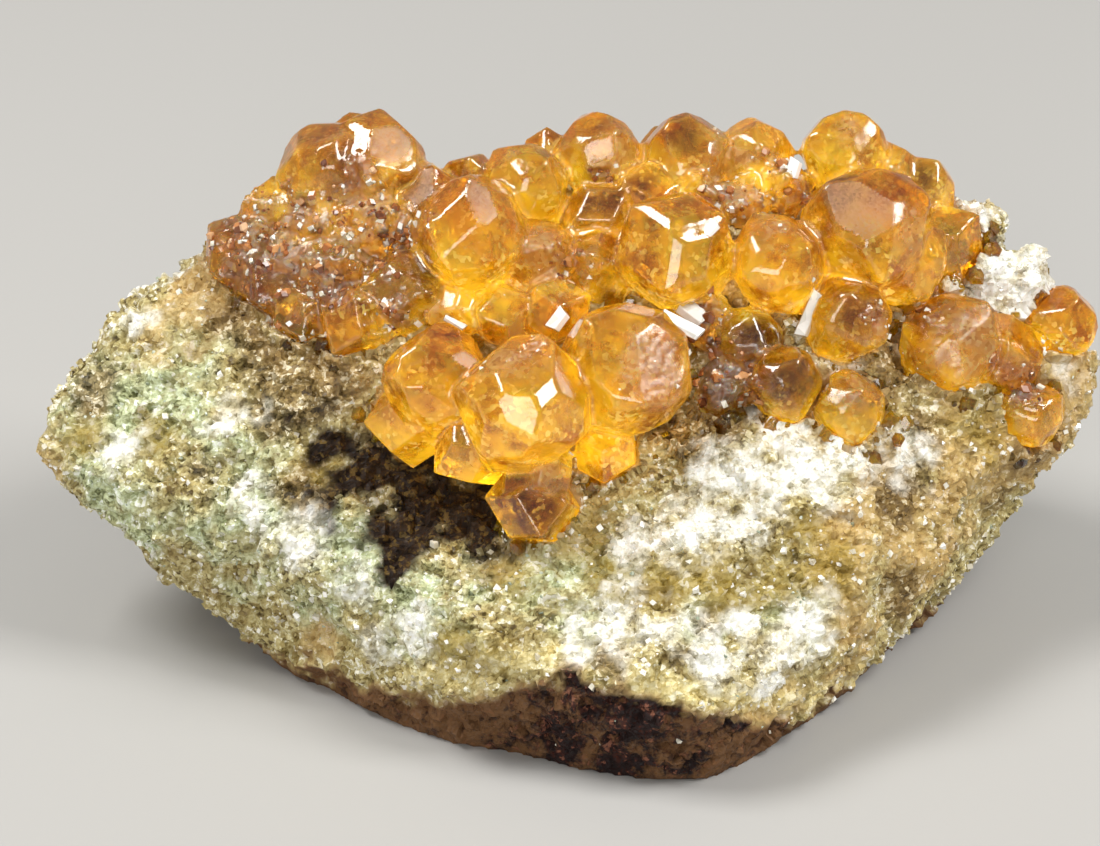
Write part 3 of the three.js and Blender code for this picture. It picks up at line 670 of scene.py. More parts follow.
BROWN_SPOTS_CLEAR = [(-8.7, 35.2, 1.8), (-12.9, 37.3, 2.2), (3.0, 35.0, 2.4), (5.4, 35.8, 1.8),
                     (-1.7, 16.4, 2.4), (13.2, 23.6, 2.2), (17.7, 27.8, 2.7), (9.6, 34.4, 2.4),
                     (22.2, 36.7, 1.8), (6.6, 21.4, 2.6), (12.4, 26.6, 2.0), (-9.8, 32.2, 1.6),
                     (-1.6, 16.0, 3.5), (7.8, 38.9, 1.6), (16.4, 35.4, 2.0), (-8.0, 31.4, 1.3),
                     (3.4, 28.6, 1.6), (14.6, 25.0, 1.8)]

CLEAR_ZONES = {"yellow": YELLOW_SPOTS, "olive": OLIVE_SPOTS_CLEAR, "brown": BROWN_SPOTS_CLEAR}

# The larger crystals: across, up, radius in mm
CRYSTALS = [(-13.6, 36.8, 3.3), (-11.5, 37.1, 3.3), (-5.4, 32.8, 3.6), (-2.1, 35.9, 2.7),
            (2.4, 37.8, 2.7), (7.6, 37.6, 2.8), (11.8, 37.8, 2.4), (17.4, 38.0, 2.8),
            (18.5, 33.2, 4.0), (20.6, 31.2, 2.8), (7.0, 31.8, 3.5), (13.1, 31.1, 2.9),
            (-7.3, 23.8, 3.3), (-2.2, 22.5, 4.0), (3.7, 24.6, 4.2), (-9.4, 29.4, 2.3),
            (2.1, 30.8, 2.2), (17.2, 27.8, 2.7), (23.8, 26.2, 3.3), (26.9, 25.6, 2.4),
            (-1.4, 31.6, 2.2), (17.2, 22.4, 2.2), (-1.6, 16.8, 2.2), (28.6, 22.0, 2.1),
            (13.4, 23.8, 2.2), (2.3, 33.8, 2.1), (-8.8, 21.6, 2.2), (-5.2, 20.2, 2.2),
            (30.9, 27.6, 2.3), (22.2, 35.9, 2.2)]

# Natural faces etched dull, pale as a painted reflection: across, up, reach in mm
FROSTED_FACES = [(-4.5, 34.1, 2.6), (-6.0, 25.0, 2.4), (-7.8, 35.8, 2.0), (18.0, 34.6, 1.7),
                 (7.4, 26.4, 1.6), (7.7, 36.7, 1.4), (-10.6, 38.8, 1.2), (-3.0, 27.2, 1.8)]


def glow_share(points):
    """From 0 at the top of a crystal to 1 at its foot, where the light from above gathers."""
    nearest = np.full(len(points), np.inf)
    height = np.zeros(len(points))
    for across, up, radius in CRYSTALS:
        middle = seen(garnet_tree, across, up) + AWAY * (0.85 * radius * MM)
        offset = (points - np.array(middle)) / (radius * MM)
        distance = np.linalg.norm(offset, axis=1)
        height = np.where(distance < nearest, offset @ np.array(UPWARD), height)
        nearest = np.minimum(nearest, distance)
    wander = 0.35 * smooth_noise(points, 1.7 * MM, salt=95)
    return np.clip(0.42 - 0.75 * height + wander, 0, 1) * np.clip(2.2 - nearest, 0, 1)


# %% Even mesh with worn edges
GARNET_VOXEL = 0.15 * MM
DRUSE_VOXEL = 0.205 * MM  # the druse is large, and a piece stays under 200,000 triangles
GARNET_IOR = 1.74
FACE_SLACK = 0.12 * MM  # how far from a face's plane a point may lie and still be on that face
SAME_DIRECTION = 0.998  # the least cosine between the normals of one face


def crystal_skin(node_name):
    """A fine, even copy of a garnet solid with rounded edges, gritty where the crust is."""
    obj = merged_copy(node_name, node_name.replace("garnet_", "crystals_"))
    even = obj.modifiers.new("even", "REMESH")
    even.mode = "VOXEL"
    even.voxel_size = DRUSE_VOXEL if node_name == "garnet_druse" else GARNET_VOXEL
    worn = obj.modifiers.new("worn edges", "SMOOTH")
    worn.factor = 0.5
    worn.iterations = 1
    obj = made_plain(obj)
    points = points_of(obj.data)
    normals = points_of(obj.data, "normal")
    ragged = 0.6 * smooth_noise(points, 1.6 * MM, salt=61)
    ragged += 0.4 * smooth_noise(points, 0.7 * MM, salt=62)
    crust = spots_mask(points, CRUST_SPOTS, ragged, garnet_tree)
    grit = grain_relief(points, 0.55 * MM, 0.20 * MM, salt=63)
    grit += grain_relief(points, 1.1 * MM, 0.2 * MM, salt=64)
    swell = 0.004 * MM * smooth_noise(points, 1.4 * MM, salt=65)
    crackled = spots_mask(points, CLOUDED_SPOTS, ragged, garnet_tree)
    gritty = np.maximum(crust, 0.12 * crackled)
    points += normals * (grit * gritty + swell)[:, None]
    points[:, 2] = np.maximum(points[:, 2], 0)
    obj.data.vertices.foreach_set("co", points.ravel())
    paint(obj, "crust", crust)
    for k, (name, spots) in enumerate(CLEAR_ZONES.items()):
        own = 0.4 * smooth_noise(points, 1.8 * MM, salt=70 + k)
        own += 0.3 * smooth_noise(points, 0.8 * MM, salt=74 + k)
        paint(obj, name, spots_mask(points, spots, own, garnet_tree))
    facet_normals = np.array([garnet_tree.find_nearest(Vector(p))[1] for p in points])
    paint(obj, "facet", hash01(np.round(facet_normals * 40), 77))
    paint(obj, "clouded", crackled)
    turned_off = 0.99 - np.sum(facet_normals * normals, axis=1)
    worn_edge = np.clip(turned_off / 0.08, 0, 1)
    paint(obj, "edge", worn_edge * (1 - crust))
    # The etched faces: duller, and pale as a painted reflection
    frost = np.zeros(len(points))
    for across, up, reach in FROSTED_FACES:
        middle, normal = (np.array(v) for v in facet_seen(garnet_tree, across, up))
        in_plane = np.abs((points - middle) @ normal) < FACE_SLACK
        same_face = (facet_normals @ normal > SAME_DIRECTION) & in_plane
        close = np.clip(2.0 - np.linalg.norm(points - middle, axis=1) / (reach * MM), 0, 1)
        frost = np.where(same_face, np.maximum(frost, close), frost)
    paint(obj, "frost", frost * np.clip(1.25 - 2 * worn_edge, 0, 1))
    paint(obj, "glow", glow_share(points))
    obj.data.polygons.foreach_set("use_smooth", [True] * len(obj.data.polygons))
    obj.data.update()
    return obj


# %% Clear amber
ORANGE = (0.86, 0.40, 0.012)
YELLOW = (1.0, 0.68, 0.03)
# GLOW tints the foot of each crystal as painted light; GATHERED_LIGHT is the painted glow
GLOW = (1.0, 0.74, 0.04)
GATHERED_LIGHT = (1.0, 0.58, 0.020)
FLECK = (1.0, 0.80, 0.20)
GLOW_STRENGTH = 0.42
OLIVE_AMBER = (0.58, 0.40, 0.04)
BROWN_AMBER = (0.18, 0.075, 0.008)
VEIL_PALE = (1.0, 0.78, 0.34)
FROST_REFLECTION_TINT = (0.97, 0.70, 0.44)
EDGE_PALE = (1.0, 0.74, 0.36)
CRUST_RED = (0.50, 0.20, 0.08)
CRUST_PALE = (0.95, 0.80, 0.66)
CLOUDED_RAMP = [(0.0, (0.50, 0.25, 0.05)), (0.33, (0.82, 0.55, 0.18)), (0.66, (0.98, 0.78, 0.42)),
                (0.95, (1.0, 0.95, 0.74))]
ABSORBED = (0.995, 0.90, 0.30)
ABSORPTION = 140.0


def make_garnet_material():
    """Clear amber with clouded patches, golden flecks and pale edges, with a painted glow at the
    foot of each crystal and a painted reflection on the etched faces.
    """
    material, tree, shader = new_material(
        "honey amber garnet", IOR=GARNET_IOR, Transmission_Weight=0.85, Subsurface_Weight=1.0,
        Subsurface_Scale=3.0 * MM)
    shader.inputs["Subsurface Radius"].default_value = (1.0, 0.55, 0.12)
    place = node(tree, "ShaderNodeTexCoord").outputs["Object"]
    cloud = noise(tree, place, 380.0, 5.0, 0.62)
    fine = grouped(tree, FINE_GRAIN, {"Size mm": 0.45, "Roundness": 0.6})
    flakes = grouped(tree, FINE_GRAIN, {"Size mm": 0.26, "Roundness": 0.5})

    def over(factor, most, first, second, blend="MIX"):
        """One colour over another by a weakened factor."""
        return mixed(tree, times(tree, factor, most), first, second, blend)

    # The colour: brown orange above, golden below as painted light, with darker and wispy parts
    colour = mixed(tree, attribute(tree, "yellow"), ORANGE, YELLOW)
    colour = mixed(tree, attribute(tree, "glow"), colour, GLOW)
    colour = mixed(tree, attribute(tree, "olive"), colour, OLIVE_AMBER)
    colour = over(attribute(tree, "brown"), 1.0, colour, BROWN_AMBER)
    depth = ramp(tree, cloud, [(0.36, (0.40, 0.22, 0.09)), (0.51, (1, 1, 1)), (1.0, (1, 1, 1))])
    colour = mixed(tree, 0.95, colour, depth, "MULTIPLY")
    wisp = stretched(tree, noise(tree, place, 560.0, 6.0, 0.7, 1.2), 0.58, 0.70)
    colour = over(wisp, 0.7, colour, VEIL_PALE)

    # Golden flecks in swarms, thickest where the painted glow lies: partly painted sparkle
    swarm = stretched(tree, noise(tree, place, 700.0, 3.0), 0.42, 0.62)
    fleck = minus(tree, flakes.outputs["Tint"], 0.70)
    fleck = times(tree, fleck, 6.0, clamp=True)
    fleck = times(tree, fleck, swarm)
    lit = plus(tree, attribute(tree, "glow"), 0.2)
    fleck = times(tree, fleck, lit, clamp=True)
    colour = mixed(tree, fleck, colour, FLECK)

    # The painted glow: emission that stands for the light gathering inside
    gathered = value_math(tree, "POWER", attribute(tree, "glow"), 1.5)
    gathered = plus(tree, times(tree, gathered, 0.95), 0.05)
    light = mixed(tree, gathered, (0, 0, 0), GATHERED_LIGHT)
    light = mixed(tree, 1.0, light, depth, "MULTIPLY")
    broken = ramp(tree, flakes.outputs["Tint"],
                  [(0.0, (0.35, 0.26, 0.15)), (0.6, (0.85, 0.80, 0.7)), (1.0, (1, 1, 1))])
    light = over(swarm, 0.8, light, broken, "MULTIPLY")
    light = over(fleck, 0.8, light, FLECK)
    shaded = {"crust": 1.0, "clouded": 0.8, "brown": 0.9, "olive": 0.5, "frost": 0.7}
    for zone, most in shaded.items():
        light = over(attribute(tree, zone), most, light, (0, 0, 0))
    tree.links.new(light, shader.inputs["Emission Color"])
    shader.inputs["Emission Strength"].default_value = GLOW_STRENGTH

    # Crust, crackled clouds, pale edges, and etched faces with a painted reflection on them
    crust_colour = ramp(tree, fine.outputs["Tint"], [(0.0, (0.20, 0.07, 0.03)), (0.4, CRUST_RED),
                                                     (0.72, (0.72, 0.38, 0.20)), (1.0, CRUST_PALE)])
    colour = over(attribute(tree, "crust"), 0.85, colour, crust_colour)
    crackle = times(tree, flakes.outputs["Tint"], 0.75)
    crackle = plus(tree, crackle, times(tree, wisp, 0.30))
    crackle = minus(tree, crackle, 0.02)
    colour = over(attribute(tree, "clouded"), 0.9, colour, ramp(tree, crackle, CLOUDED_RAMP))
    colour = over(attribute(tree, "edge"), 0.45, colour, EDGE_PALE)
    etching = grouped(tree, FINE_GRAIN, {"Size mm": 0.15, "Roundness": 0.3})
    etching = plus(tree, etching.outputs["Tint"], times(tree, cloud, 1.2))
    worn_frost = stretched(tree, etching, 0.4, 1.5, 0.15, 0.75)
    frosted = times(tree, attribute(tree, "frost"), worn_frost)
    # Painted reflection: the etched faces take the pale tint of dim surroundings
    colour = mixed(tree, frosted, colour, FROST_REFLECTION_TINT)
    tree.links.new(colour, shader.inputs["Base Color"])

    haze = grouped(tree, SPECKLE, {"Size mm": 2.0, "Share": 0.24})
    etched = minus(tree, attribute(tree, "facet"), 0.80)
    etched = times(tree, etched, 0.7, clamp=True)
    dull = value_math(tree, "MAXIMUM", times(tree, haze.outputs["Mask"], 0.18), etched)
    for zone, most in (("crust", 1.0), ("frost", 1.0), ("clouded", 0.8)):
        dull = value_math(tree, "MAXIMUM", dull, times(tree, attribute(tree, zone), most))
    tree.links.new(stretched(tree, dull, 0.0, 1.0, 0.02, 0.45), shader.inputs["Roughness"])
    broad = noise(tree, place, 620.0, 2.0)
    grain = plus(tree, fine.outputs["Height"], flakes.outputs["Height"])
    grain = times(tree, grain, dull)
    height = plus(tree, grain, times(tree, broad, 0.12))
    bumped(tree, shader, height, 0.06 * MM, 0.5)
    absorbing = {"Color": (*ABSORBED, 1), "Density": ABSORPTION}
    volume = node(tree, "ShaderNodeVolumeAbsorption", absorbing)
    tree.links.new(volume.outputs[0], tree.nodes["Material Output"].inputs["Volume"])
    return material


AMBER = make_garnet_material()
garnets = []
for name in GARNET_NODES:
    skin = crystal_skin(name)
    skin.data.materials.append(AMBER)
    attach(skin, "root")
    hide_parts(name)
    garnets.append(skin)
print("garnet triangles:", {g.name: triangle_count(g) for g in garnets})

# %% [markdown]
# ## Clouds inside the crystals
# Garnets crack as they grow and heal again. Each healed crack stays as a thin, bent, pale veil
# inside the clear crystal, and these veils make the bright mottled patches under the faces. Each
# one here is a wavy sheet that is shrunk until it lies wholly inside the solid, some at random and
# two below each clouded patch. A noise texture in the glass could fake them, but real sheets shift
# against the faces when the view turns.

# %% Veils
VEILS_EACH = 4
VEILS_BELOW_CLOUDS = (0.45 * MM, 0.9 * MM)  # how deep the sheets lie where a crystal is clouded
VEIL_SEED = 7
VEIL_MARGIN = 0.15 * MM  # the least depth of a sheet's points below the faces
RIM_POINTS = 18
RINGS = 4


def inside_depth(point):
    """How deep a point lies inside the garnets, negative outside."""
    nearest, normal, _, distance = garnet_tree.find_nearest(point)
    return distance if (point - nearest).dot(normal) < 0 else -distance


def veil_sheet(work, middle, radius, turn, salt):
    """Adds one wavy sheet whose points all stay inside the crystal."""
    rings = [[work.verts.new(middle)]]
    for ring in range(1, RINGS + 1):
        made = []
        for step in range(RIM_POINTS):
            angle = step / RIM_POINTS * math.tau
            wobble = 1 + 0.22 * math.sin(3 * angle + salt) + 0.14 * math.sin(5 * angle + 2 * salt)
            reach = radius * wobble * ring / RINGS
            bend = math.sin(2.2 * reach / radius + salt) * math.cos(2 * angle + salt)
            lift = 0.22 * radius * bend
            offset = turn @ Vector((reach * math.cos(angle), 0.7 * reach * math.sin(angle), lift))
            while inside_depth(middle + offset) < VEIL_MARGIN and offset.length > 0.05 * MM:
                offset *= 0.85
            made.append(work.verts.new(middle + offset))
        rings.append(made)
    for k in range(RIM_POINTS):
        after = (k + 1) % RIM_POINTS
        work.faces.new((rings[0][0], rings[1][k], rings[1][after]))
        for inner, outer in zip(rings[1:], rings[2:]):
            work.faces.new((inner[k], outer[k], outer[after], inner[after]))


def make_veils():
    """All the veils as one mesh."""
    work = bmesh.new()
    rng = np.random.default_rng(VEIL_SEED)
    for across, up, radius in CRYSTALS:
        front = seen(garnet_tree, across, up)
        for _ in range(VEILS_EACH):
            shift = Vector(rng.normal(0, 0.32, 3)) * radius * MM
            middle = front + AWAY * (0.75 * radius * MM) + shift
            angle = rng.uniform(0, math.tau)
            turn = Matrix.Rotation(angle, 3, Vector(rng.normal(0, 1, 3)).normalized())
            if inside_depth(middle) > 0.4 * MM:
                reach = radius * rng.uniform(0.35, 0.75) * MM
                veil_sheet(work, middle, reach, turn, rng.uniform(0, 6))
    facing = (-AWAY).to_track_quat("Z", "Y").to_matrix()
    for across, up, radius in CLOUDED_SPOTS:
        for deep in VEILS_BELOW_CLOUDS:
            middle = seen(garnet_tree, across, up) + AWAY * deep
            turn = Matrix.Rotation(rng.uniform(-0.4, 0.4), 3, "X") @ facing
            if inside_depth(middle) > 0.2 * MM:
                veil_sheet(work, middle, 0.85 * radius * MM, turn, rng.uniform(0, 6))
    mesh = mesh_of(work, "veils")
    mesh.polygons.foreach_set("use_smooth", [True] * len(mesh.polygons))
    return linked("veils", mesh)


def make_veil_material():
    """Pale peach wisps with open gaps between them."""
    material, tree, shader = new_material("healed crack", IOR=1.5)
    place = node(tree, "ShaderNodeTexCoord").outputs["Object"]
    wisps = noise(tree, place, 900.0, 5.0, 0.7)
    cover = ramp(tree, wisps, [(0.42, (0, 0, 0)), (0.66, (0.75, 0.75, 0.75))])
    tree.links.new(cover, shader.inputs["Alpha"])
    colour = ramp(tree, wisps, [(0.4, (0.95, 0.48, 0.08)), (0.7, (1.0, 0.80, 0.42))])
    tree.links.new(colour, shader.inputs["Base Color"])
    shader.inputs["Roughness"].default_value = 0.4
    return material


veils = make_veils()
veils.data.materials.append(make_veil_material())
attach(veils, "root")
print("veil faces:", len(veils.data.polygons))

# %% [markdown]
# ## Grains that lie loose on the surface
# Between the crystals and all over the rock stand small separate grains: cleavage blocks of
# calcite, stubby prisms of diopside, and tiny garnets in the crust. They are the same few shapes
# again and again, so Geometry Nodes strews them: one tree takes a surface with a painted share, a
# set of shapes and their sizes. The shapes have only a few faces, since thousands are laid.


# %% The strewing tree
def strewing_tree():
    """Strews shapes over a surface, as thickly as its painted share says."""
    tree = bpy.data.node_groups.new("strewn grains", "GeometryNodeTree")
    add = tree.interface.new_socket
    add("Surface", in_out="INPUT", socket_type="NodeSocketGeometry")
    add("Shapes", in_out="INPUT", socket_type="NodeSocketCollection")
    add("Finish", in_out="INPUT", socket_type="NodeSocketMaterial")
    for label in ("Per square mm", "Smallest mm", "Largest mm", "Sunk share", "Lean"):
        add(label, in_out="INPUT", socket_type="NodeSocketFloat")
    add("Seed", in_out="INPUT", socket_type="NodeSocketInt")
    add("Grains", in_out="OUTPUT", socket_type="NodeSocketGeometry")
    ins = tree.nodes.new("NodeGroupInput").outputs
    outs = tree.nodes.new("NodeGroupOutput").inputs
    share = node(tree, "GeometryNodeInputNamedAttribute", {"Name": "share"}, data_type="FLOAT")
    thickness = times(tree, share.outputs["Attribute"], ins["Per square mm"])
    thickness = times(tree, thickness, 1e6)
    strewn = node(tree, "GeometryNodeDistributePointsOnFaces",
                  {"Mesh": ins["Surface"], "Density": thickness, "Seed": ins["Seed"]})
    chance = node(tree, "FunctionNodeRandomValue", {"Seed": ins["Seed"]}, data_type="FLOAT")
    spread = minus(tree, ins["Largest mm"], ins["Smallest mm"])
    size = times(tree, value_math(tree, "POWER", chance.outputs[1], 2.2), spread)
    size = times(tree, plus(tree, size, ins["Smallest mm"]), MM)
    sunk = times(tree, times(tree, size, ins["Sunk share"]), -1.0)
    down = node(tree, "ShaderNodeVectorMath", {0: strewn.outputs["Normal"], "Scale": sunk},
                operation="SCALE")
    placed = node(tree, "GeometryNodeSetPosition",
                  {"Geometry": strewn.outputs["Points"], "Offset": down.outputs[0]})
    least = node(tree, "ShaderNodeCombineXYZ")
    most = node(tree, "ShaderNodeCombineXYZ", {"Z": math.tau})
    for axis in ("X", "Y"):
        tree.links.new(times(tree, ins["Lean"], -1.0), least.inputs[axis])
        tree.links.new(ins["Lean"], most.inputs[axis])
    lean = node(tree, "FunctionNodeRandomValue",
                {0: least.outputs[0], 1: most.outputs[0], "Seed": 3},
                data_type="FLOAT_VECTOR").outputs[0]
    turned = node(tree, "FunctionNodeRotateRotation",
                  {"Rotation": strewn.outputs["Rotation"], "Rotate By": lean},
                  rotation_space="LOCAL")
    shapes = node(tree, "GeometryNodeCollectionInfo",
                  {"Collection": ins["Shapes"], "Separate Children": True, "Reset Children": True})
    which = node(tree, "FunctionNodeRandomValue", {4: 0, 5: 20, "Seed": 5},
                 data_type="INT").outputs[2]
    laid = node(tree, "GeometryNodeInstanceOnPoints",
                {"Points": placed.outputs[0], "Instance": shapes.outputs[0], "Pick Instance": True,
                 "Instance Index": which, "Rotation": turned.outputs[0], "Scale": size})
    real = node(tree, "GeometryNodeRealizeInstances", {"Geometry": laid.outputs[0]})
    finished = node(tree, "GeometryNodeSetMaterial",
                    {"Geometry": real.outputs[0], "Material": ins["Finish"]})
    tree.links.new(finished.outputs[0], outs["Grains"])
    return tree


STREWING = strewing_tree()
STREWING_INPUTS = {socket.name: socket.identifier for socket in STREWING.interface.items_tree
                   if socket.in_out == "INPUT"}
print("strewing tree inputs:", list(STREWING_INPUTS))


# %% Shapes to strew
def shape_set(name, outlines):
    """A collection of small shapes, each the hull of some corners about 1 unit across."""
    shapes = bpy.data.collections.new(name)
    for k, corners in enumerate(outlines):
        work = bmesh.new()
        for corner in corners:
            work.verts.new(corner)
        bmesh.ops.convex_hull(work, input=work.verts)
        label = f"{name} {k}"
        shapes.objects.link(bpy.data.objects.new(label, mesh_of(work, label)))
    return shapes


def block_corners(rng):
    """The corners of a cleavage block: a box leaning over, with uneven sides."""
    sides = rng.uniform(0.35, 0.6, 3)
    shear = rng.uniform(-0.25, 0.25, 2)
    corners = []
    for x, y, z in np.ndindex(2, 2, 2):
        spot = (np.array([x, y, z]) * 2 - 1) * sides + rng.normal(0, 0.03, 3)
        corners.append((spot[0] + shear[0] * spot[2], spot[1] + shear[1] * spot[2], spot[2]))
    return corners


def prism_corners(rng):
    """The corners of a stubby six-sided prism with slanting ends."""
    length = rng.uniform(0.6, 1.0)
    slant = rng.uniform(-0.5, 0.5, 2)
    corners = []
    for end in (-1, 1):
        for step in range(6):
            angle = step / 6 * math.tau
            x, y = 0.34 * math.cos(angle), 0.26 * math.sin(angle)
            corners.append((x, y, end * length / 2 + slant[0] * x + slant[1] * y))
    return corners


def little_garnet_corners(rng):
    """The corners of a rhombic dodecahedron."""
    scale = 0.5 * rng.uniform(0.85, 1.1, 3)
    cube = [(x, y, z) for x in (-0.5, 0.5) for y in (-0.5, 0.5) for z in (-0.5, 0.5)]
    tips = [(1, 0, 0), (-1, 0, 0), (0, 1, 0), (0, -1, 0), (0, 0, 1), (0, 0, -1)]
    return [tuple(np.array(c) * scale) for c in cube + tips]


SHAPE_SEED = 11
shape_rng = np.random.default_rng(SHAPE_SEED)
BLOCKS = shape_set("cleavage block", [block_corners(shape_rng) for _ in range(8)])
PRISMS = shape_set("stubby prism", [prism_corners(shape_rng) for _ in range(6)])
LITTLE_GARNETS = shape_set("little garnet", [little_garnet_corners(shape_rng) for _ in range(5)])


def strewn(name, surface, share, shapes, finish, **sizes):
    """Strews shapes over a surface and returns them as one plain mesh."""
    mesh = surface.data.copy()
    mesh.materials.clear()
    obj = linked(name, mesh)
    paint(obj, "share", np.clip(share, 0, 1))
    layer = obj.modifiers.new("strewing", "NODES")
    layer.node_group = STREWING
    for label, value in {"Shapes": shapes, "Finish": finish, **sizes}.items():
        layer[STREWING_INPUTS[label.replace("_", " ")]] = value
    obj = made_plain(obj)
    if "share" in obj.data.attributes:
        obj.data.attributes.remove(obj.data.attributes["share"])
    print(name + ":", len(obj.data.polygons), "faces")
    return obj


# %% [markdown]
# ## Calcite and diopside grains
# The pale grains catch the light one by one, so they are shiny, and each shape
# has its own tint, from chalk white over cream to grey green.


# %% Grain materials
def make_pale_grain_material(name, stops, roughness):
    """Shiny pale grains, tinted in patches."""
    material, tree, shader = new_material(name, IOR=1.62, Roughness=roughness)
    fine = grouped(tree, FINE_GRAIN, {"Size mm": 0.7, "Roundness": 0.2})
    colour = ramp(tree, fine.outputs["Tint"], stops)
    tree.links.new(colour, shader.inputs["Base Color"])
    bumped(tree, shader, fine.outputs["Height"], 0.03 * MM, 0.4)
    return material


CALCITE_GRAIN = make_pale_grain_material(
    "calcite grain", [(0.0, (0.55, 0.50, 0.38)), (0.4, (0.80, 0.77, 0.66)),
                      (1.0, (0.95, 0.94, 0.90))], 0.22)
DIOPSIDE_GRAIN = make_pale_grain_material(
    "diopside grain", [(0.0, (0.20, 0.24, 0.17)), (0.45, (0.48, 0.54, 0.42)),
                       (1.0, (0.78, 0.82, 0.74))], 0.18)
RED_CRUST = make_pale_grain_material(
    "garnet crust", [(0.0, (0.12, 0.035, 0.015)), (0.45, (0.36, 0.12, 0.035)),
                     (0.8, (0.55, 0.25, 0.08)), (1.0, (0.85, 0.62, 0.42))], 0.12)


# %% Strew the rock
def values_of(obj, name):
    """A painted zone as an array."""
    values = np.zeros(len(obj.data.vertices))
    obj.data.attributes[name].data.foreach_get("value", values)
    return values


rock_points = points_of(rock.data)
clear_of_base = np.clip((rock_points[:, 2] / MM - 1.0), 0, 1)
patchy = np.clip(0.6 + 0.9 * smooth_noise(rock_points, 2.8 * MM, salt=81), 0.1, 1)
stain_and_shade = np.maximum(values_of(rock, "brown"), values_of(rock, "dark"))
pale = np.clip(1.0 - stain_and_shade, 0, 1) * clear_of_base * np.clip(1 - values_of(rock, "rust"), 0.1, 1)
near_garnet = np.clip(1.6 - rock_to_garnet / (0.9 * MM), 0, 1) * clear_of_base
OWN = {"Smallest_mm": 0.12, "Largest_mm": 0.52, "Sunk_share": 0.2, "Lean": 1.2}
BRIGHT = {"Smallest_mm": 0.10, "Largest_mm": 0.40, "Sunk_share": 0.1, "Lean": 1.2}
everywhere = clear_of_base * patchy
strewings = [
    strewn("rock_blocks", rock, everywhere, BLOCKS, ROCK, Per_square_mm=3.0, Seed=1, **OWN),
    strewn("rock_prisms", rock, everywhere, PRISMS, ROCK, Per_square_mm=1.6, Seed=2, **OWN),
    strewn("bright_blocks", rock, pale * patchy, BLOCKS, CALCITE_GRAIN, Per_square_mm=1.1, Seed=3,
           **BRIGHT),
    strewn("bright_prisms", rock, pale * (0.15 + values_of(rock, "green")), PRISMS, DIOPSIDE_GRAIN,
           Per_square_mm=0.5, Seed=5, **BRIGHT),
    strewn("foot_crystals", rock, near_garnet * 0.8, LITTLE_GARNETS, AMBER,
           Per_square_mm=0.8, Seed=4, Smallest_mm=0.2, Largest_mm=1.7, Sunk_share=0.2, Lean=3.0),
]

# %% Strew the garnets
def druse_shares(obj):
    """Where small garnets and pale dust sit on a crystal: in its crust and low down by the rock."""
    points = points_of(obj.data)
    to_rock = distance_to(rock_tree, points)
    low = np.clip(1.3 - to_rock / (0.9 * MM), 0, 1)
    patches = smooth_noise(points, 1.5 * MM, salt=91)
    return np.clip(values_of(obj, "crust"), 0, 1), low * np.clip(0.4 + patches, 0, 1)


for obj in garnets:
    crusted, dusty = druse_shares(obj)
    label = obj.name.replace("crystals_", "")
    strewings.append(strewn("crust_" + label, obj, crusted, LITTLE_GARNETS, RED_CRUST,
                            Per_square_mm=1.3, Seed=6, Smallest_mm=0.18, Largest_mm=1.0,
                            Sunk_share=0.15, Lean=3.0))
    specks = np.clip(dusty + 0.9 * crusted + 0.12 * values_of(obj, "clouded"), 0, 1)
    strewings.append(strewn("dust_" + label, obj, specks, BLOCKS, CALCITE_GRAIN,
                            Per_square_mm=1.6, Seed=7, Smallest_mm=0.09, Largest_mm=0.42,
                            Sunk_share=0.2, Lean=3.0))
for obj in strewings:
    if len(obj.data.polygons) == 0:
        bpy.data.objects.remove(obj)
        continue
    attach(obj, "root")
for shapes in (BLOCKS, PRISMS, LITTLE_GARNETS):
    for shape in list(shapes.objects):
        bpy.data.objects.remove(shape)
    bpy.data.collections.remove(shapes)

# %% [markdown]
# ## Blades between the garnets
# A few pale diopside blades lie in the gaps, each a flat six-sided prism with slanting ends. They
# are single crystals that the eye finds at once, so each is placed one by one, on what carries it.

# %% Pale blades
# across, up, length, width, thickness in mm, and the direction of the long axis in the front view
BLADES = [(7.1, 27.2, 2.5, 1.0, 0.5, (0.89, -0.45)), (7.9, 28.1, 1.9, 1.4, 0.7, (0.8, -0.6)),
          (15.0, 28.0, 2.8, 0.9, 0.7, (0.40, 0.92)), (-6.3, 27.5, 1.4, 0.6, 0.4, (0.84, -0.54)),
          (-0.1, 27.6, 1.3, 1.0, 0.7, (0.6, 0.8)), (14.2, 36.9, 1.2, 0.9, 0.8, (0.3, 0.95)),
          (17.6, 25.0, 2.2, 0.9, 0.6, (0.76, 0.65)), (9.0, 33.0, 1.0, 0.7, 0.5, (0.7, 0.7))]
all_tree = surface_tree([frame["nodes"][name] for name in frame["nodes"]])


def blade(work, across, up, length, width, thickness, lie):
    """Adds one blade that is half sunk into the surface under it."""
    middle = seen(all_tree, across, up)
    along = (RIGHT * lie[0] + UPWARD * lie[1]).normalized()
    face = (Vector((0, -0.35, 0.94)) - along * along.dot(Vector((0, -0.35, 0.94)))).normalized()
    side = along.cross(face)
    profile = [(-0.5, 0), (-0.34, 0.5), (0.34, 0.5), (0.5, 0), (0.34, -0.5), (-0.34, -0.5)]
    rim = []
    for end, slant in ((-1, 0.22), (1, -0.3)):
        for x, z in profile:
            place = along * (end * length / 2 + slant * x * width) + side * (x * width)
            rim.append(work.verts.new(middle + (place + face * (z * thickness)) * MM))
    bmesh.ops.convex_hull(work, input=rim)


def make_blades():
    """All the blades as one mesh."""
    work = bmesh.new()
    for row in BLADES:
        blade(work, *row)
    bmesh.ops.bevel(work, geom=work.edges, offset=0.03 * MM, segments=1, affect="EDGES")
    return linked("diopside_blades", mesh_of(work, "diopside_blades"))


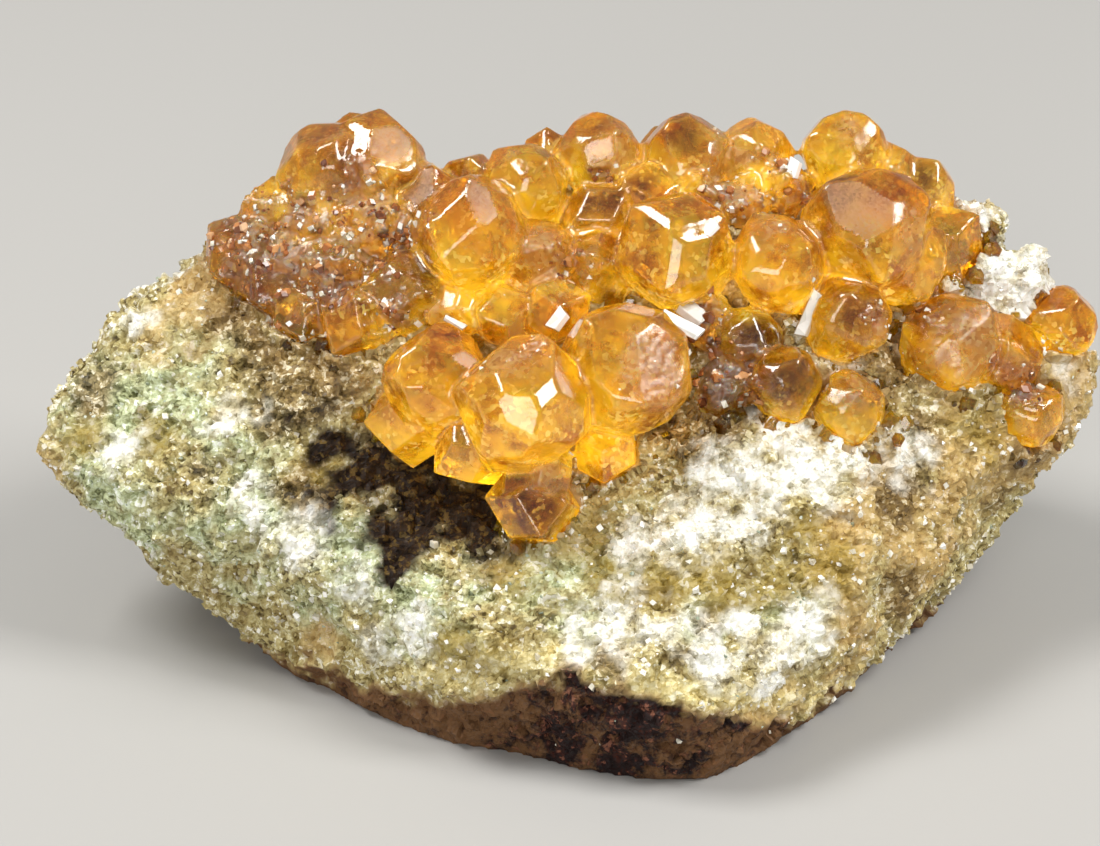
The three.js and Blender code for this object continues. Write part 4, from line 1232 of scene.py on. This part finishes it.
BLADE = make_pale_grain_material(
    "pale blade", [(0.0, (0.70, 0.70, 0.66)), (0.6, (0.92, 0.92, 0.90)),
                   (1.0, (0.97, 0.97, 0.97))], 0.08)
blades = make_blades()
blades.data.materials.append(BLADE)
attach(blades, "root")
print("blade faces:", len(blades.data.polygons))

# %% [markdown]
# ## Floor, light and camera
# The specimen stands on a plain pale floor. Two soft boxes hang above it, left and right, where the
# mirror direction of the flat faces meets them, and a broad weak light fills from the front.

# %% Floor
FLOOR_SIZE = 1.6
FLOOR_GREY = (0.43, 0.425, 0.415)
floor_mesh = bpy.data.meshes.new("floor")
half = FLOOR_SIZE / 2
floor_mesh.from_pydata([(-half, -half, 0), (half, -half, 0), (half, half, 0), (-half, half, 0)],
                       [], [(0, 1, 2, 3)])
floor = linked("floor", floor_mesh)
floor_material, _, _ = new_material("pale floor", Base_Color=(*FLOOR_GREY, 1), Roughness=0.7)
floor.data.materials.append(floor_material)

# %% Lights
ROOM_LIGHT = (1.0, 0.98, 0.93)
ROOM_STRENGTH = 0.32
WARM_WHITE = (1.0, 0.985, 0.955)
world = bpy.data.worlds.new("studio")
world.use_nodes = True
background = world.node_tree.nodes["Background"]
background.inputs["Color"].default_value = (*ROOM_LIGHT, 1)
background.inputs["Strength"].default_value = ROOM_STRENGTH
bpy.context.scene.world = world


def soft_box(name, direction, distance, size, power):
    """A square area light that looks at the specimen from a direction."""
    light = bpy.data.lights.new(name, "AREA")
    light.shape = "SQUARE"
    light.size = size
    light.energy = power
    light.color = WARM_WHITE
    lamp = linked(name, light)
    middle = Vector((0, 0, 15 * MM))
    lamp.location = middle + Vector(direction).normalized() * distance
    lamp.rotation_euler = (middle - lamp.location).to_track_quat("-Z", "Y").to_euler()


soft_box("upper left", (-0.516, 0.05, 0.855), 0.40, 0.17, 1.28)
soft_box("upper right", (0.628, -0.165, 0.76), 0.40, 0.15, 1.15)
soft_box("front fill", (-0.15, -0.90, 0.45), 0.60, 0.26, 1.1)
bpy.context.scene.view_settings.view_transform = "Standard"

# %% Camera
CAMERA_DISTANCE = 0.240
FRAME_WIDTH = 66 * MM  # of the photograph's frame, at the specimen
PICTURE_MIDDLE = (-0.6, 21.48)  # what the middle of the photograph looks at, across and up
MIDDLE_DEPTH = 6 * MM  # how far the specimen's middle lies behind its foremost point
camera_data = bpy.data.cameras.new("camera")
camera_data.sensor_width = 36
camera_data.lens = 36 * CAMERA_DISTANCE / FRAME_WIDTH
camera_data.clip_start = 0.01
camera = linked("camera", camera_data)
camera.location = on_sight_plane(*PICTURE_MIDDLE) - AWAY * (CAMERA_DISTANCE - MIDDLE_DEPTH)
camera.rotation_euler = AWAY.to_track_quat("-Z", "Y").to_euler()
bpy.context.scene.camera = camera
print("lens:", round(camera_data.lens), "mm")
